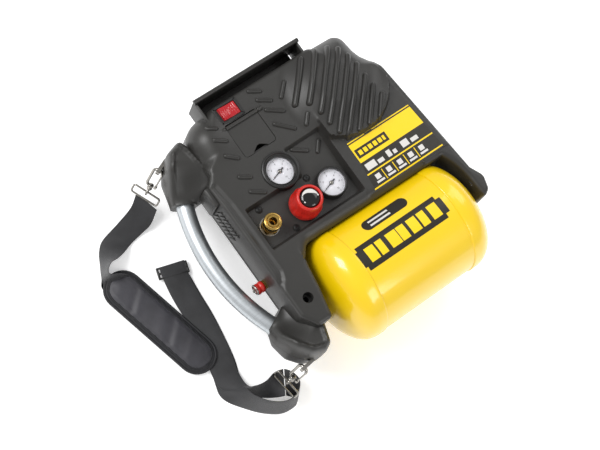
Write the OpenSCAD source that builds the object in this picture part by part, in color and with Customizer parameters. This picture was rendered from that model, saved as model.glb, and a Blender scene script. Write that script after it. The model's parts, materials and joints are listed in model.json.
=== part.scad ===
// Portable oil-free air compressor with a horizontal tank, a tube handle and a shoulder strap.
// It lies on its back: the origin is the middle of the flat back, +Z points out of the front,
// +X runs along the tank and +Y points to the cord-wrap flange.

/* [Housing] */
// Width of the housing along the tank
body_w = 328; // [300:1:380]
// Height of the housing's front face above the resting plane
front_z = 150; // [140:1:160]
// Height of the parting plane between the two shells
part_z = 88; // [84:1:92]
// Wall of both shells
wall = 3; // [2:0.5:4]
// Height of the raised right-hand area over the front face
plateau_h = 12; // [8:1:14]
// Depth of the sunk control panel under the front face
panel_drop = 12; // [8:1:14]
// Radius of the two rounded shoulders at the flange end
shoulder_r = 48; // [44:1:50]

/* [Tank] */
// Outside diameter of the tank barrel
tank_d = 165; // [150:1:170]
// Length of the barrel between its seams
barrel_l = 174; // [150:1:190]
// Height of each dished end
dish_h = 44; // [36:1:48]
// Sheet thickness of the tank
tank_wall = 2; // [1.5:0.5:3]
// Gap between the tank and the shells
tank_gap = 3.5; // [3:0.5:6]

/* [Handle] */
// Outside diameter of the handle tube
tube_d = 25; // [22:1:28]
// Wall of the handle tube
tube_wall = 1.5; // [1:0.5:2.5]
// Radius of the tube's bend
tube_bend_r = 267; // [255:1:280]
// Distance between the two socket mouths
grip_l = 203; // [190:1:215]
// Depth of the tube in each socket
socket_depth = 22; // [16:1:26]

/* [Controls] */
// Diameter of both gauge cases
gauge_d = 43; // [40:1:46]
// Diameter of the regulator knob at its base
knob_d = 46; // [40:1:50]
// Height of the regulator knob
knob_h = 34; // [26:1:38]
// Bore of the quick coupler
coupler_bore = 10.5; // [8:0.5:11]
// Length of the storage door
door_l = 52; // [46:1:56]
// Width of the storage door
door_w = 46; // [38:1:50]
// Length of the rocker opening
rocker_l = 30; // [26:1:32]
// Width of the rocker opening
rocker_w = 20; // [17:1:22]

/* [Motor] */
// Diameter of the motor stator
stator_d = 100; // [80:1:108]
// Length of the motor stator
stator_l = 54; // [40:1:60]
// Diameter of the motor shaft
shaft_d = 12; // [10:1:14]
// Diameter of the cooling fan
fan_d = 92; // [80:1:98]
// Bore of the compressor cylinder
cyl_bore = 48; // [40:1:52]
// Throw of the eccentric
throw = 5; // [3:0.5:6]

/* [Strap] */
// Width of the strap webbing
web_w = 38; // [30:1:42]
// Thickness of the strap webbing
web_t = 2; // [1.5:0.5:3]
// Length of the shoulder pad
pad_l = 192; // [170:1:200]
// Width of the shoulder pad
pad_w = 56; // [50:1:60]

/* [Fits] */
// Radial clearance of pins and shafts
run_fit = 0.1; // [0.05:0.05:0.15]
// Clearance around covers and buttons
cover_fit = 0.5; // [0.4:0.1:0.8]
// Clearance under a head or between stacked faces
face_fit = 0.1; // [0.05:0.05:0.2]

/* [Hidden] */
$fn = 48;
eps = 0.01;
press_fit = 0.02;

// Housing, seen from the front
hw = body_w / 2;
top_y = 186;
low_y = -30;
ear_y = -141;
left_shoulder = [-hw + 60, top_y - shoulder_r];
right_shoulder = [hw - 82, top_y + 2 - shoulder_r];
edge_r = 4;
panel_z = front_z - panel_drop;
panel_x0 = -hw + 22;
panel_x1 = 17;
panel_y0 = low_y + 6.5;
panel_y1 = 86;
slope_run = 32;
slope_z = part_z - 8;
shell_pts = [[-hw, -118], [-hw, 96], [-hw + 12, 110], [-hw + 12, top_y - shoulder_r],
    [left_shoulder[0], top_y], [right_shoulder[0], top_y], [hw - 30, 142], [hw - 16, 124],
    [hw + 2, -78], [hw + 12, -98], [hw + 6, -118], [hw - 14, -134], [hw - 46, -136],
    [hw - 46, low_y], [-95, low_y], [-112, -60], [-118, -100], [-127, ear_y],
    [-hw + 14, ear_y]];

// Tank
tank_x = 21;
tank_y = -111;
tank_z = part_z;
tank_r = tank_d / 2;
skirt_l = 8;
skirt_t = 1.5;
dish_power = 2.3;
dish_steps = 14;
boss_d = 26;
boss_h = 9;
valve_x = 60;
drain_x = 80;
drain_tilt = 45;

// Handle, a bent tube in the parting plane
tube_r = tube_d / 2;
bend_x = 223 - hw;
bend_y = 4;
mouth_a = asin(grip_l / 2 / tube_bend_r);
tube_a = mouth_a + socket_depth / tube_bend_r * 180 / PI;
mouth_x = bend_x - tube_bend_r * cos(mouth_a);
mouth_r = tube_r + 7;

// Controls on the front
gauge_r = gauge_d / 2;
gauge_h = 28;
gauge_wall = 2;
dial_t = 1;
dial_drop = 8;
lens_t = 1.6;
lens_drop = 2.6;
needle_t = 0.8;
needle_gap = 0.6;
needle_pin_r = 1.2;
needle_zero = 198;
tank_gauge = [-67, 63];
outlet_gauge = [-15.5, 11];
gauge_stem_l = 8;
gauge_stem_d = 12;
well_wall = 4;
well_rim = 2;
manifold_h = 16;
manifold_z1 = front_z - gauge_h - gauge_stem_l;
manifold_z0 = manifold_z1 - manifold_h;
manifold_w = 14;
passage_d = 6;
knob_at = [-65, 6];
knob_neck_d = 22;
spindle_r = 4;
nut_d = 36;
nut_h = 3;
knob_z = panel_z + nut_h + 1;
knob_taper = 6;
cap_r = knob_d / 2 - 9;
cap_seat = 8;
cap_rim = 4;
coupler_at = [-123, 8];
coupler_neck_d = 20;
hex_d = 27;
hex_h = 8;
neck_d = 17;
sleeve_d = 25;
sleeve_h = 13;
sleeve_top = panel_z + 27;
panel_screw_at = [[-122, 35], [-93, -13.5], [-39.5, 36]];
screw_r = 2;
screw_hole_r = 2.2;
door_x = -71.2;
door_y0 = 101.5;
door_t = 2.4;
hinge_y = door_y0 + door_w + 3;
hinge_z = front_z + 1;
knuckle_r = 3;
door_pin_r = 1.25;
pocket_depth = 26;
pocket_wall = 2;
ledge = 2.5;
switch_at = [-79.5, 170];
switch_rim = 4;
rocker_tilt = 9;
rocker_pin_r = 1.5;
rocker_h = 9;

// Valves on the left wall
safety_y = -50;
safety_z = part_z + 12;
safety_hole_r = 9;
safety_out = 3;
safety_cap_l = 13;
stem_r = 2;

// Motor and pump
motor_y = 110;
motor_z = wall + 9 + stator_d / 2;
stator_x = -30;
shaft_r = shaft_d / 2;
fan_x = -72;
fan_w = 18;
case_x = 42;
case_w = 44;
case_h = 62;
bearing_d = 30;
bearing_w = 8;
pump_x = case_x + case_w / 2;
ecc_r = shaft_r + 6;
cyl_d = cyl_bore + 14;
cyl_y0 = 30;
cyl_y1 = motor_y - case_h / 2;
head_h = 16;
pipe_d = 10;
valve_y = tank_y + tank_r + boss_h;
valve_l = 12;
gland_at = [30, 44];
gland_r = 8;
port_x = -42;
port_tilt = -9.2;
hose_r = 5;

// Flange that the mains lead is wound on
wrap_x0 = -112;
wrap_x1 = 66;
wrap_y = top_y + 21.5;
wrap_t = 4;
wrap_z0 = front_z - 48;
wrap_web_t = 4;
wrap_side_h = 22;
wrap_bead_r = 3;

// Shoulder strap, lying beside the housing
anchor_t = 5;
anchor_r = 7.2;
anchor_hole_r = 4.5;
anchor_root = 16;
anchor_up = [-hw - 25, 164];
anchor_up_turn = 203;
anchor_low = [-hw - 19, -173];
anchor_low_turn = 187;
wire_r = 1.5;
loop_r = 7;
gate_l = 22;
gate_pivot_r = 2.1;
eye_r = 5;
hook_up_tilt = 60;
hook_low_tilt = 66;
ring_l = 14;
ring_wire_r = 1.2;
swivel_r = 3.5;
swivel_l = 7;
hook_base = 4;
web_upper = beside([[76, 152], [116, 138], [144, 112], [148, 92]]);
web_lower = beside([[107, -98], [98, -130], [76, -162], [58, -182]]);
web_tail = beside([[72, 62], [68, 10], [76, -60], [90, -112]]);
web_rise = beside([[60, 146]])[0];
web_rise_h = 24;
pad_at = beside([[128, -3]])[0];
pad_turn = -76;
pad_t = 12;
screw_low = [158, -97];
ear_hole = [-hw + 23, -101.5];
ear_hole_r = 4.3;
ear_drop = 16;
ear_sink_r = 7.5;
screw_drop = 12;
screw_head_r = 4.5;
screw_z0 = 40;
ear_boss_r = 10;
screw_boss_r = 8;
lug_rim = 3;
lug_t = 4;
foot_d = 24;
foot_t = 6;
foot_z = [40, 122];
foot_y = [108, -70];

// Points given as distances out from the handle side of the housing
function beside(points) = [for (p = points) [-hw - p[0], p[1]]];

// Points of an ellipse-like quarter, from the rim to the middle
function dish(r, h) = [for (i = [0:dish_steps]) let (a = 90 * i / dish_steps)
    [r * pow(cos(a), 2 / dish_power), h * pow(sin(a), 2 / dish_power)]];

module at_x(p) { translate(p) rotate([0, 90, 0]) children(); }
module at_y(p) { translate(p) rotate([-90, 0, 0]) children(); }
module slab(z0, z1) { translate([0, 0, z0]) linear_extrude(z1 - z0) children(); }
module box(x0, x1, y0, y1, z0, z1) { translate([x0, y0, z0]) cube([x1 - x0, y1 - y0, z1 - z0]); }
module ring(d, bore, h) {
    difference() {
        cylinder(h = h, d = d);
        translate([0, 0, -1]) cylinder(h = h + 2, d = bore);
    }
}

// ---- Housing ----

module housing_2d() {
    offset(r = edge_r) offset(delta = -edge_r) union() {
        polygon(shell_pts);
        translate(left_shoulder) circle(shoulder_r);
        translate(right_shoulder) circle(shoulder_r);
    }
}

module panel_2d() {
    polygon([[panel_x0, panel_y0], [panel_x1, panel_y0], [panel_x1, panel_y1],
        [tank_gauge[0] + gauge_r, panel_y1], [tank_gauge[0] + gauge_r, 44], [panel_x0, 44]]);
}

module plateau_2d() {
    intersection() {
        housing_2d();
        polygon([[panel_x1, low_y + 2], [hw - 12, low_y + 2], [hw - 22, 44], [hw - 34, 120],
            [hw - 70, top_y - 8], [panel_x1 + 16, top_y - 12], [panel_x1, 131]]);
    }
}

module dish_solid(r, h) { rotate_extrude() polygon(concat([[0, 0]], dish(r, h))); }

// Solid form of the tank, grown by g
module tank_form(g) {
    at_x([tank_x - barrel_l / 2, tank_y, tank_z]) cylinder(h = barrel_l, r = tank_r + skirt_t + g);
    at_x([tank_x + barrel_l / 2, tank_y, tank_z]) dish_solid(tank_r + skirt_t + g, dish_h + g);
    translate([tank_x - barrel_l / 2, tank_y, tank_z]) rotate([0, -90, 0])
        dish_solid(tank_r + skirt_t + g, dish_h + g);
}

// One stretch of the bent tube, of radius r, up to an angle a each side of its middle
module bent_bar(r, a) {
    translate([bend_x, bend_y, part_z]) rotate([0, 0, 180 - a])
        rotate_extrude(angle = 2 * a, $fn = 96) translate([tube_bend_r, 0]) circle(r, $fn = 32);
}

// Horn that holds one end of the handle; s is 1 at the flange end and -1 at the tank end
module horn(s) {
    root_y = s > 0 ? 150 : -132;
    tip = s > 0 ? [8 - hw, 168] : [14 - hw, -159];
    side = s > 0 ? [-20 - hw, 136] : [-14 - hw, -146];
    hull() {
        translate([mouth_x, bend_y + s * grip_l / 2, part_z]) rotate([-90, 0, s * mouth_a])
            translate([0, 0, s > 0 ? 0 : -8]) cylinder(h = 8, r = mouth_r, $fn = 32);
        translate([tip[0], tip[1], part_z]) sphere(14, $fn = 24);
        translate([side[0], side[1], part_z]) sphere(17, $fn = 24);
        translate([-hw + 20, root_y - 12, part_z + 44]) sphere(12, $fn = 20);
        translate([-hw + 20, root_y - s * 42, part_z + 44]) sphere(12, $fn = 20);
        translate([-hw + 24, root_y - 12, part_z - 44]) sphere(12, $fn = 20);
    }
}

// Space for the handle's ends
module sockets() { bent_bar(tube_r + run_fit, tube_a + 0.2); }

module foot_cuts(g) {
    for (y = foot_y, z = foot_z)
        at_x([foot_x(y) - foot_t, y, z]) cylinder(h = 40, d = foot_d + 2 * g);
}
function foot_x(y) = hw - 16 + (124 - y) * 18 / 202 + 1;

module front_solid() {
    slab(part_z, front_z) housing_2d();
    slab(front_z - eps, front_z + plateau_h) plateau_2d();
    translate([right_shoulder[0], right_shoulder[1] - 8, front_z - 6]) scale([1, 1, 0.5])
        sphere(shoulder_r - 4, $fn = 64);
    intersection() {
        union() {
            horn(1);
            horn(-1);
        }
        box(-2 * hw, 0, -2 * hw, 2 * hw, part_z, front_z);
    }
}

module front_cavity() {
    slab(part_z - 1, front_z - wall) offset(delta = -wall) housing_2d();
    slab(front_z - wall - eps, front_z + plateau_h - wall) offset(delta = -wall) plateau_2d();
}

// Opening in the face for the storage door and its hinge
module door_opening() {
    box(door_x - door_l / 2 - cover_fit, door_x + door_l / 2 + cover_fit, door_y0 - cover_fit,
        hinge_y + knuckle_r + 1, front_z - wall - 1, front_z + 1);
}

// Tray under the storage door, whose rim is the door's ledge
module accessory_tray() {
    color("#3f3f3d") difference() {
        box(door_x - door_l / 2 - 4, door_x + door_l / 2 + 4, door_y0 - 3,
            hinge_y + knuckle_r + 3, front_z - pocket_depth - pocket_wall,
            front_z - wall - face_fit);
        box(door_x - door_l / 2 + ledge, door_x + door_l / 2 - ledge, door_y0 + ledge,
            door_y0 + door_w - ledge, front_z - pocket_depth, front_z);
    }
}

module hinge_ears() {
    for (s = [-1, 1]) translate([door_x + s * (door_l / 2 + cover_fit + 2), hinge_y, hinge_z])
        rotate([0, 90, 0]) cylinder(h = 4, r = knuckle_r + 0.5, center = true);
}

module front_shell() {
    color("#4a4a48") difference() {
        union() {
            difference() {
                front_solid();
                front_cavity();
            }
            slab(panel_z - wall, front_z) offset(delta = wall) panel_2d();
            translate([tank_gauge[0], tank_gauge[1], panel_z - wall])
                cylinder(h = panel_drop + wall + well_rim, r = gauge_r + well_wall);
            hinge_ears();
            translate([ear_hole[0], ear_hole[1], part_z]) cylinder(h = front_z - part_z, r = ear_boss_r);
            translate([screw_low[0], screw_low[1], part_z])
                cylinder(h = front_z - part_z, r = screw_boss_r);
            intersection() {
                slab(part_z, front_z - wall) offset(delta = -wall + eps) housing_2d();
                bent_bar(mouth_r, tube_a + 2);
            }
        }
        slab(panel_z, front_z + 40) difference() {
            panel_2d();
            translate(tank_gauge) circle(gauge_r + well_wall);
        }
        door_opening();
        at_x([door_x - door_l / 2 - 8, hinge_y, hinge_z]) cylinder(h = door_l + 16, r = door_pin_r);
        for (p = [tank_gauge, outlet_gauge])
            translate([p[0], p[1], panel_z - wall - 1]) cylinder(h = 40, r = gauge_r + cover_fit);
        for (p = panel_screw_at)
            translate([p[0], p[1], panel_z - wall - 1]) cylinder(h = 2 * wall + 2, r = screw_hole_r);
        translate([knob_at[0], knob_at[1], panel_z - wall - 1])
            cylinder(h = 2 * wall + 2, d = knob_neck_d + 2 * cover_fit);
        translate([coupler_at[0], coupler_at[1], panel_z - wall - 1])
            cylinder(h = 2 * wall + 2, d = coupler_neck_d + 2 * cover_fit);
        translate([switch_at[0], switch_at[1], front_z - 10]) linear_extrude(20)
            square([rocker_l + 2 * switch_rim - 4, rocker_w + 2 * switch_rim - 4], center = true);
        tank_form(tank_gap);
        sockets();
        translate([ear_hole[0], ear_hole[1], part_z - 1]) cylinder(h = 80, r = ear_hole_r);
        translate([ear_hole[0], ear_hole[1], front_z - ear_drop])
            cylinder(h = 20, r = ear_sink_r);
        translate([screw_low[0], screw_low[1], part_z - 1])
            cylinder(h = 80, r = screw_r + cover_fit);
        translate([screw_low[0], screw_low[1], front_z - screw_drop])
            cylinder(h = 20, r = screw_head_r + 1);
        at_x([-hw - 20, safety_y, safety_z]) cylinder(h = 40, r = safety_hole_r);
        foot_cuts(0);
        for (i = [0:9]) translate([-hw - 1, 52 + 5 * i, part_z + 14 + 20 * (i % 2)])
            rotate([20, 0, 0]) cube([wall + 2, 2.4, 15]);
        anchor_slots();
        bracket_slots();
        boss_cuts();
    }
}

module rear_solid(g) {
    difference() {
        slab(g, part_z) offset(delta = -g) housing_2d();
        translate([-hw + g, -2 * hw, slope_z]) rotate([0, atan2(slope_z, slope_run) - 90, 0])
            translate([-100, 0, -2 * hw]) cube([100, 4 * hw, 2 * hw]);
    }
}

module rear_shell() {
    color("#3a3a39") difference() {
        union() {
            difference() {
                rear_solid(0);
                difference() {
                    rear_solid(wall);
                    box(-2 * hw, 2 * hw, -2 * hw, 2 * hw, -1, wall);
                }
                translate([0, 0, 1]) slab(part_z - 2, part_z) offset(delta = -wall) housing_2d();
            }
            intersection() {
                union() {
                    horn(1);
                    horn(-1);
                }
                box(-2 * hw, 0, -2 * hw, 2 * hw, 0, part_z);
            }
            intersection() {
                rear_solid(0);
                translate([ear_hole[0], ear_hole[1], 0]) cylinder(h = part_z, r = ear_boss_r);
            }
            translate([screw_low[0], screw_low[1], 0]) cylinder(h = part_z, r = screw_boss_r);
        }
        tank_form(tank_gap);
        sockets();
        translate([ear_hole[0], ear_hole[1], -1]) cylinder(h = 100, r = ear_hole_r);
        translate([screw_low[0], screw_low[1], screw_z0 - 10]) cylinder(h = 100, r = screw_r);
        foot_cuts(0);
        at_y([gland_at[0], top_y - 30, gland_at[1]]) cylinder(h = 60, r = gland_r + run_fit);
        anchor_slots();
        bracket_slots();
        boss_cuts();
    }
}

module cord_wrap() {
    color("#333332") difference() {
        union() {
            box(wrap_x0, wrap_x1, wrap_y - wrap_t, wrap_y, wrap_z0, front_z);
            box(wrap_x0 + 6, wrap_x1 - 6, top_y + face_fit, wrap_y - wrap_t + eps, wrap_z0,
                wrap_z0 + wrap_web_t);
            for (x = [wrap_x0, wrap_x1 - wrap_t])
                box(x, x + wrap_t, top_y + face_fit, wrap_y - wrap_t + eps, wrap_z0,
                    wrap_z0 + wrap_side_h);
            at_x([wrap_x0, wrap_y - wrap_t / 2, front_z])
                cylinder(h = wrap_x1 - wrap_x0, r = wrap_bead_r);
        }
        slab(part_z, front_z) offset(delta = face_fit) housing_2d();
    }
}

// ---- Tank ----

module tank_barrel() {
    color("#f2d400") difference() {
        at_x([tank_x - barrel_l / 2, tank_y, tank_z]) ring(tank_d, tank_d - 2 * tank_wall, barrel_l);
        for (port = [[valve_x, 0], [port_x, port_tilt], [drain_x, 180 - drain_tilt]])
            on_barrel(port[0], port[1]) cylinder(h = tank_r + 9, r = boss_d / 4);
    }
}

// One dished end with its skirt over the barrel, opening towards -Z
module tank_end() {
    rotate_extrude($fn = 96) polygon(concat(
        [[tank_r, -skirt_l], [tank_r + skirt_t, -skirt_l]],
        dish(tank_r + skirt_t, dish_h),
        [for (i = [dish_steps:-1:0]) dish(tank_r - tank_wall, dish_h - tank_wall)[i]],
        [[tank_r - tank_wall, eps], [tank_r, eps]]));
}

module tank_ends() {
    color("#f2d400") {
        at_x([tank_x + barrel_l / 2, tank_y, tank_z]) tank_end();
        translate([tank_x - barrel_l / 2, tank_y, tank_z]) rotate([0, -90, 0]) tank_end();
    }
}

// Places its children on the barrel at x, with +Z pointing out at angle a from +Y towards -Z
module on_barrel(x, a) { translate([x, tank_y, tank_z]) rotate([-90 - a, 0, 0]) children(); }

module tank_bosses() {
    color("#f2d400") {
        on_barrel(valve_x, 0) boss();
        on_barrel(port_x, port_tilt) boss();
        on_barrel(drain_x, 180 - drain_tilt) boss();
    }
}

module boss() {
    difference() {
        cylinder(h = tank_r + boss_h, d = boss_d);
        translate([0, 0, -1]) cylinder(h = tank_r + boss_h + 2, d = boss_d / 2);
        rotate([0, 90, 0]) cylinder(h = 4 * boss_d, r = tank_r, center = true, $fn = 96);
    }
}

// Welded lugs, one at each end of the tank, that hook round the shells' screw bosses
module tank_brackets() {
    color("#f2d400") {
        bracket(-1, ear_hole, ear_boss_r, 0);
        bracket(1, screw_low, screw_boss_r, 0);
    }
}

module bracket(s, at, boss_r, g) {
    end_x = tank_x + s * (barrel_l / 2 + 20);
    tip_x = at[0] + s * (boss_r + lug_rim);
    difference() {
        box(min(end_x, tip_x) - g, max(end_x, tip_x) + g, at[1] - boss_r - lug_rim - g,
            at[1] + boss_r + lug_rim + g, part_z - lug_t / 2 - g, part_z + lug_t / 2 + g);
        if (g == 0) tank_form(0);
        if (g == 0) translate([at[0], at[1], part_z - lug_t])
            cylinder(h = 2 * lug_t, r = boss_r + face_fit);
    }
}

// Room for the two fittings that reach from the tank into the housing
module boss_cuts() {
    for (port = [[valve_x, 0], [port_x, port_tilt]])
        on_barrel(port[0], port[1]) cylinder(h = tank_r + 20, r = boss_d / 2 + cover_fit);
}

module bracket_slots() {
    for (b = [[-1, ear_hole, ear_boss_r], [1, screw_low, screw_boss_r]]) difference() {
        bracket(b[0], b[1], b[2], face_fit);
        translate([b[1][0], b[1][1], part_z - lug_t]) cylinder(h = 2 * lug_t, r = b[2]);
    }
}

// ---- Handle and strap anchors ----

module handle_tube() {
    color("#c9ccd0") difference() {
        bent_bar(tube_r, tube_a);
        bent_bar(tube_r - tube_wall, tube_a + 1);
    }
}

module tab(p, turn, g) {
    translate([p[0], p[1], part_z]) rotate([0, 0, turn]) difference() {
        union() {
            box(-anchor_root - g, 0, -anchor_t / 2 - g, anchor_t / 2 + g, -anchor_r - g,
                anchor_r + g);
            rotate([90, 0, 0]) cylinder(h = anchor_t + 2 * g, r = anchor_r + g, center = true);
        }
        if (g == 0) rotate([90, 0, 0])
            cylinder(h = anchor_t + 2, r = anchor_hole_r, center = true);
    }
}

module strap_anchors() {
    color("#9a9a98") {
        tab(anchor_up, anchor_up_turn, 0);
        tab(anchor_low, anchor_low_turn, 0);
    }
}

module anchor_slots() {
    tab(anchor_up, anchor_up_turn, face_fit);
    tab(anchor_low, anchor_low_turn, face_fit);
}

module rubber_feet() {
    color("#1c1c1c") for (y = foot_y, z = foot_z)
        at_x([foot_x(y) - foot_t, y, z]) cylinder(h = foot_t + 4, d = foot_d);
}

// ---- Screws ----

module screw(h, r, head_r, head_h) {
    difference() {
        union() {
            cylinder(h = h, r = r);
            translate([0, 0, h]) cylinder(h = head_h, r = head_r);
        }
        for (a = [0, 90]) rotate([0, 0, a]) translate([-head_r * 0.6, -0.5, h + head_h - 1.2])
            cube([head_r * 1.2, 1, 2]);
    }
}

module shell_screws() {
    color("#b9b9b5") translate([screw_low[0], screw_low[1], screw_z0])
        screw(front_z - screw_drop - screw_z0 + face_fit, screw_r, screw_head_r, 3);
}

module panel_screws() {
    color("#2c2c2b") for (p = panel_screw_at)
        translate([p[0], p[1], panel_z - 10]) screw(10 + face_fit, screw_r, 2 * screw_r, 2);
}

// ---- Switch ----

module switch_housing() {
    hl = rocker_l + 2 * switch_rim;
    hwid = rocker_w + 2 * switch_rim;
    color("#262625") translate([switch_at[0], switch_at[1], front_z]) difference() {
        union() {
            translate([-hl / 2, -hwid / 2, face_fit]) cube([hl, hwid, 2]);
            translate([-hl / 2 + 2.3, -hwid / 2 + 2.3, -22]) cube([hl - 4.6, hwid - 4.6, 23]);
        }
        translate([-rocker_l / 2, -rocker_w / 2, -16]) cube([rocker_l, rocker_w, 30]);
        at_y([0, -rocker_w / 2 - 2, -3]) cylinder(h = rocker_w + 4, r = rocker_pin_r + run_fit);
    }
}

module switch_rocker() {
    c = cover_fit;
    color("#c1121f") translate([switch_at[0], switch_at[1], front_z - 3])
        rotate([0, rocker_tilt, 0]) {
            rotate([-90, 0, 0]) translate([0, 0, -rocker_w / 2 - 1.8])
                cylinder(h = rocker_w + 3.6, r = rocker_pin_r);
            rotate([90, 0, 0]) linear_extrude(rocker_w - 2 * c, center = true)
                polygon([[-rocker_l / 2 + 1.4, rocker_h - 2.4], [0, rocker_h - 4.2],
                    [rocker_l / 2 - 1.4, rocker_h - 2.4], [rocker_l / 2 - 1.4, 2], [5, -4],
                    [-5, -4], [-rocker_l / 2 + 1.4, 2]]);
        }
}

// ---- Storage door ----

module door() {
    r = door_pin_r + run_fit;
    color("#4f4f4d") difference() {
        union() {
            box(door_x - door_l / 2, door_x + door_l / 2, door_y0, door_y0 + door_w,
                front_z - door_t, front_z);
            box(door_x - door_l / 2 + 1, door_x + door_l / 2 - 1, door_y0 + door_w - 4, hinge_y,
                front_z - door_t + 0.5, front_z + 1.2);
            at_x([door_x - door_l / 2, hinge_y, hinge_z]) cylinder(h = door_l, r = knuckle_r);
        }
        at_x([door_x - door_l, hinge_y, hinge_z]) cylinder(h = 2 * door_l, r = r);
        translate([door_x + door_l / 2 - 16, door_y0 - 2, front_z - 5]) cylinder(h = 10, r = 8);
    }
}

module door_pin() {
    color("#9a9a98") at_x([door_x - door_l / 2 - 4, hinge_y, hinge_z])
        cylinder(h = door_l + 8, r = door_pin_r);
}

// ---- Gauges ----

module gauge_case(p) {
    translate([p[0], p[1], front_z - gauge_h]) difference() {
        union() {
            cylinder(h = gauge_h, r = gauge_r);
            translate([0, 0, -gauge_stem_l]) cylinder(h = gauge_stem_l + 1, d = gauge_stem_d);
        }
        translate([0, 0, 4]) cylinder(h = gauge_h, r = gauge_r - gauge_wall);
    }
}
module tank_gauge_case() { color("#1b1b1b") gauge_case(tank_gauge); }
module outlet_gauge_case() { color("#1b1b1b") gauge_case(outlet_gauge); }

module gauge_dial(p) {
    r = gauge_r - gauge_wall - run_fit / 2;
    translate([p[0], p[1], front_z - gauge_h + 4]) {
        cylinder(h = gauge_h - 4 - dial_drop, r = r - 4);
        translate([0, 0, gauge_h - 4 - dial_drop]) cylinder(h = dial_t, r = r);
        cylinder(h = gauge_h - 4 - dial_drop + dial_t + needle_gap + needle_t + 0.8,
            r = needle_pin_r);
    }
}
module tank_gauge_dial() { color("white") gauge_dial(tank_gauge); }
module outlet_gauge_dial() { color("white") gauge_dial(outlet_gauge); }

// Needle drawn at zero
module gauge_needle(p) {
    translate([p[0], p[1], front_z - dial_drop + dial_t + needle_gap]) rotate([0, 0, needle_zero])
        difference() {
            union() {
                cylinder(h = needle_t, r = 3);
                linear_extrude(needle_t) polygon([[-7, -1], [gauge_r - 7, -0.25],
                    [gauge_r - 7, 0.25], [-7, 1]]);
            }
            translate([0, 0, -1]) cylinder(h = 3, r = needle_pin_r + run_fit);
        }
}
module tank_gauge_needle() { color("black") gauge_needle(tank_gauge); }
module outlet_gauge_needle() { color("black") gauge_needle(outlet_gauge); }

module gauge_lens(p) {
    translate([p[0], p[1], front_z - lens_drop])
        cylinder(h = lens_t, r = gauge_r - gauge_wall - run_fit / 2);
}
module tank_gauge_lens() { color("#dfe8ee", 0.4) gauge_lens(tank_gauge); }
module outlet_gauge_lens() { color("#dfe8ee", 0.4) gauge_lens(outlet_gauge); }

// ---- Air manifold, regulator and coupler ----

module manifold() {
    color("#9d9f9f") {
        difference() {
            union() {
                box(coupler_at[0] - manifold_w, outlet_gauge[0] + 10, 0, manifold_w, manifold_z0,
                    manifold_z1);
                box(tank_gauge[0] - manifold_w / 2 - 1, tank_gauge[0] + manifold_w / 2 + 1,
                    manifold_w - eps, tank_gauge[1] + 8, manifold_z0, manifold_z1);
                translate([coupler_at[0], coupler_at[1], manifold_z1 - eps])
                    cylinder(h = panel_z - manifold_z1, d = coupler_neck_d);
                translate([knob_at[0], knob_at[1], manifold_z1 - eps])
                    cylinder(h = panel_z + 1 - manifold_z1, d = knob_neck_d);
            }
            translate([coupler_at[0], coupler_at[1], manifold_z0 + 4])
                cylinder(h = 60, d = passage_d);
        }
    }
}

module regulator_nut() {
    color("#d8d6cc") translate([knob_at[0], knob_at[1], panel_z + face_fit]) difference() {
        cylinder(h = nut_h, d = nut_d);
        translate([0, 0, -1]) cylinder(h = nut_h + 2, d = knob_neck_d + 2 * run_fit);
    }
}

// Wide grip under a tapered skirt that holds the cap, with the stem that turns the regulator
module regulator_knob() {
    grip_h = knob_h * 0.3;
    color("#c8261f") translate([knob_at[0], knob_at[1], knob_z + 2 * face_fit]) {
        difference() {
            union() {
                cylinder(h = grip_h, r = knob_d / 2);
                translate([0, 0, grip_h]) cylinder(h = knob_h - grip_h - cap_rim,
                    r1 = knob_d / 2, r2 = knob_d / 2 - knob_taper);
            }
            translate([0, 0, -1]) cylinder(h = 5, d = knob_neck_d + 4 * cover_fit);
            translate([0, 0, knob_h - cap_seat]) cylinder(h = 10, r = cap_r + face_fit);
        }
        translate([0, 0, -nut_h - face_fit]) cylinder(h = nut_h + 6, r = spindle_r);
    }
}

module knob_cap() {
    color("#111111") translate([knob_at[0], knob_at[1],
        knob_z + 3 * face_fit + knob_h - cap_seat]) rotate_extrude() polygon(concat(
            [[0, 0], [cap_r, 0], [cap_r, cap_rim]],
            [for (a = [15:15:90]) [cap_r * cos(a), cap_rim + 6 * sin(a)]]));
}

module coupler_body() {
    color("#c8a24a") translate([coupler_at[0], coupler_at[1], 0]) difference() {
        union() {
            translate([0, 0, panel_z + face_fit]) cylinder(h = hex_h, d = hex_d, $fn = 6);
            translate([0, 0, panel_z + hex_h])
                cylinder(h = sleeve_top - panel_z - hex_h, d = neck_d);
        }
        translate([0, 0, panel_z - 1]) cylinder(h = 60, d = coupler_bore);
    }
}

module coupler_sleeve() {
    color("#d3b25c") translate([coupler_at[0], coupler_at[1], sleeve_top - sleeve_h - 1])
        ring(sleeve_d, neck_d + 2 * run_fit, sleeve_h);
}

// ---- Valves, switch and hoses ----

module safety_valve_body() {
    color("#c8a24a") at_x([-hw - safety_out, safety_y, safety_z]) difference() {
        union() {
            cylinder(h = 14, d = 15, $fn = 6);
            translate([0, 0, 14 - eps]) cylinder(h = 24, d = 10);
        }
        translate([0, 0, -1]) cylinder(h = 24, r = stem_r + run_fit);
    }
}

module safety_valve_cap() {
    color("#c1121f") at_x([-hw - safety_out - safety_cap_l, safety_y, safety_z]) difference() {
        cylinder(h = safety_cap_l - face_fit, d = 16, $fn = 6);
        translate([0, 0, -1]) cylinder(h = 20, r = stem_r + run_fit);
    }
}

// Pull ring on the valve's stem
module safety_valve_ring() {
    color("#b9b9b5") {
        at_x([-hw - safety_out - 4 - safety_cap_l, safety_y, safety_z])
            cylinder(h = 24, r = stem_r);
        translate([-hw - safety_out - 4 - safety_cap_l + stem_r, safety_y, safety_z + 7])
            rotate([90, 0, 90])
            rotate_extrude() translate([7, 0]) circle(1.2, $fn = 24);
    }
}

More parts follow.
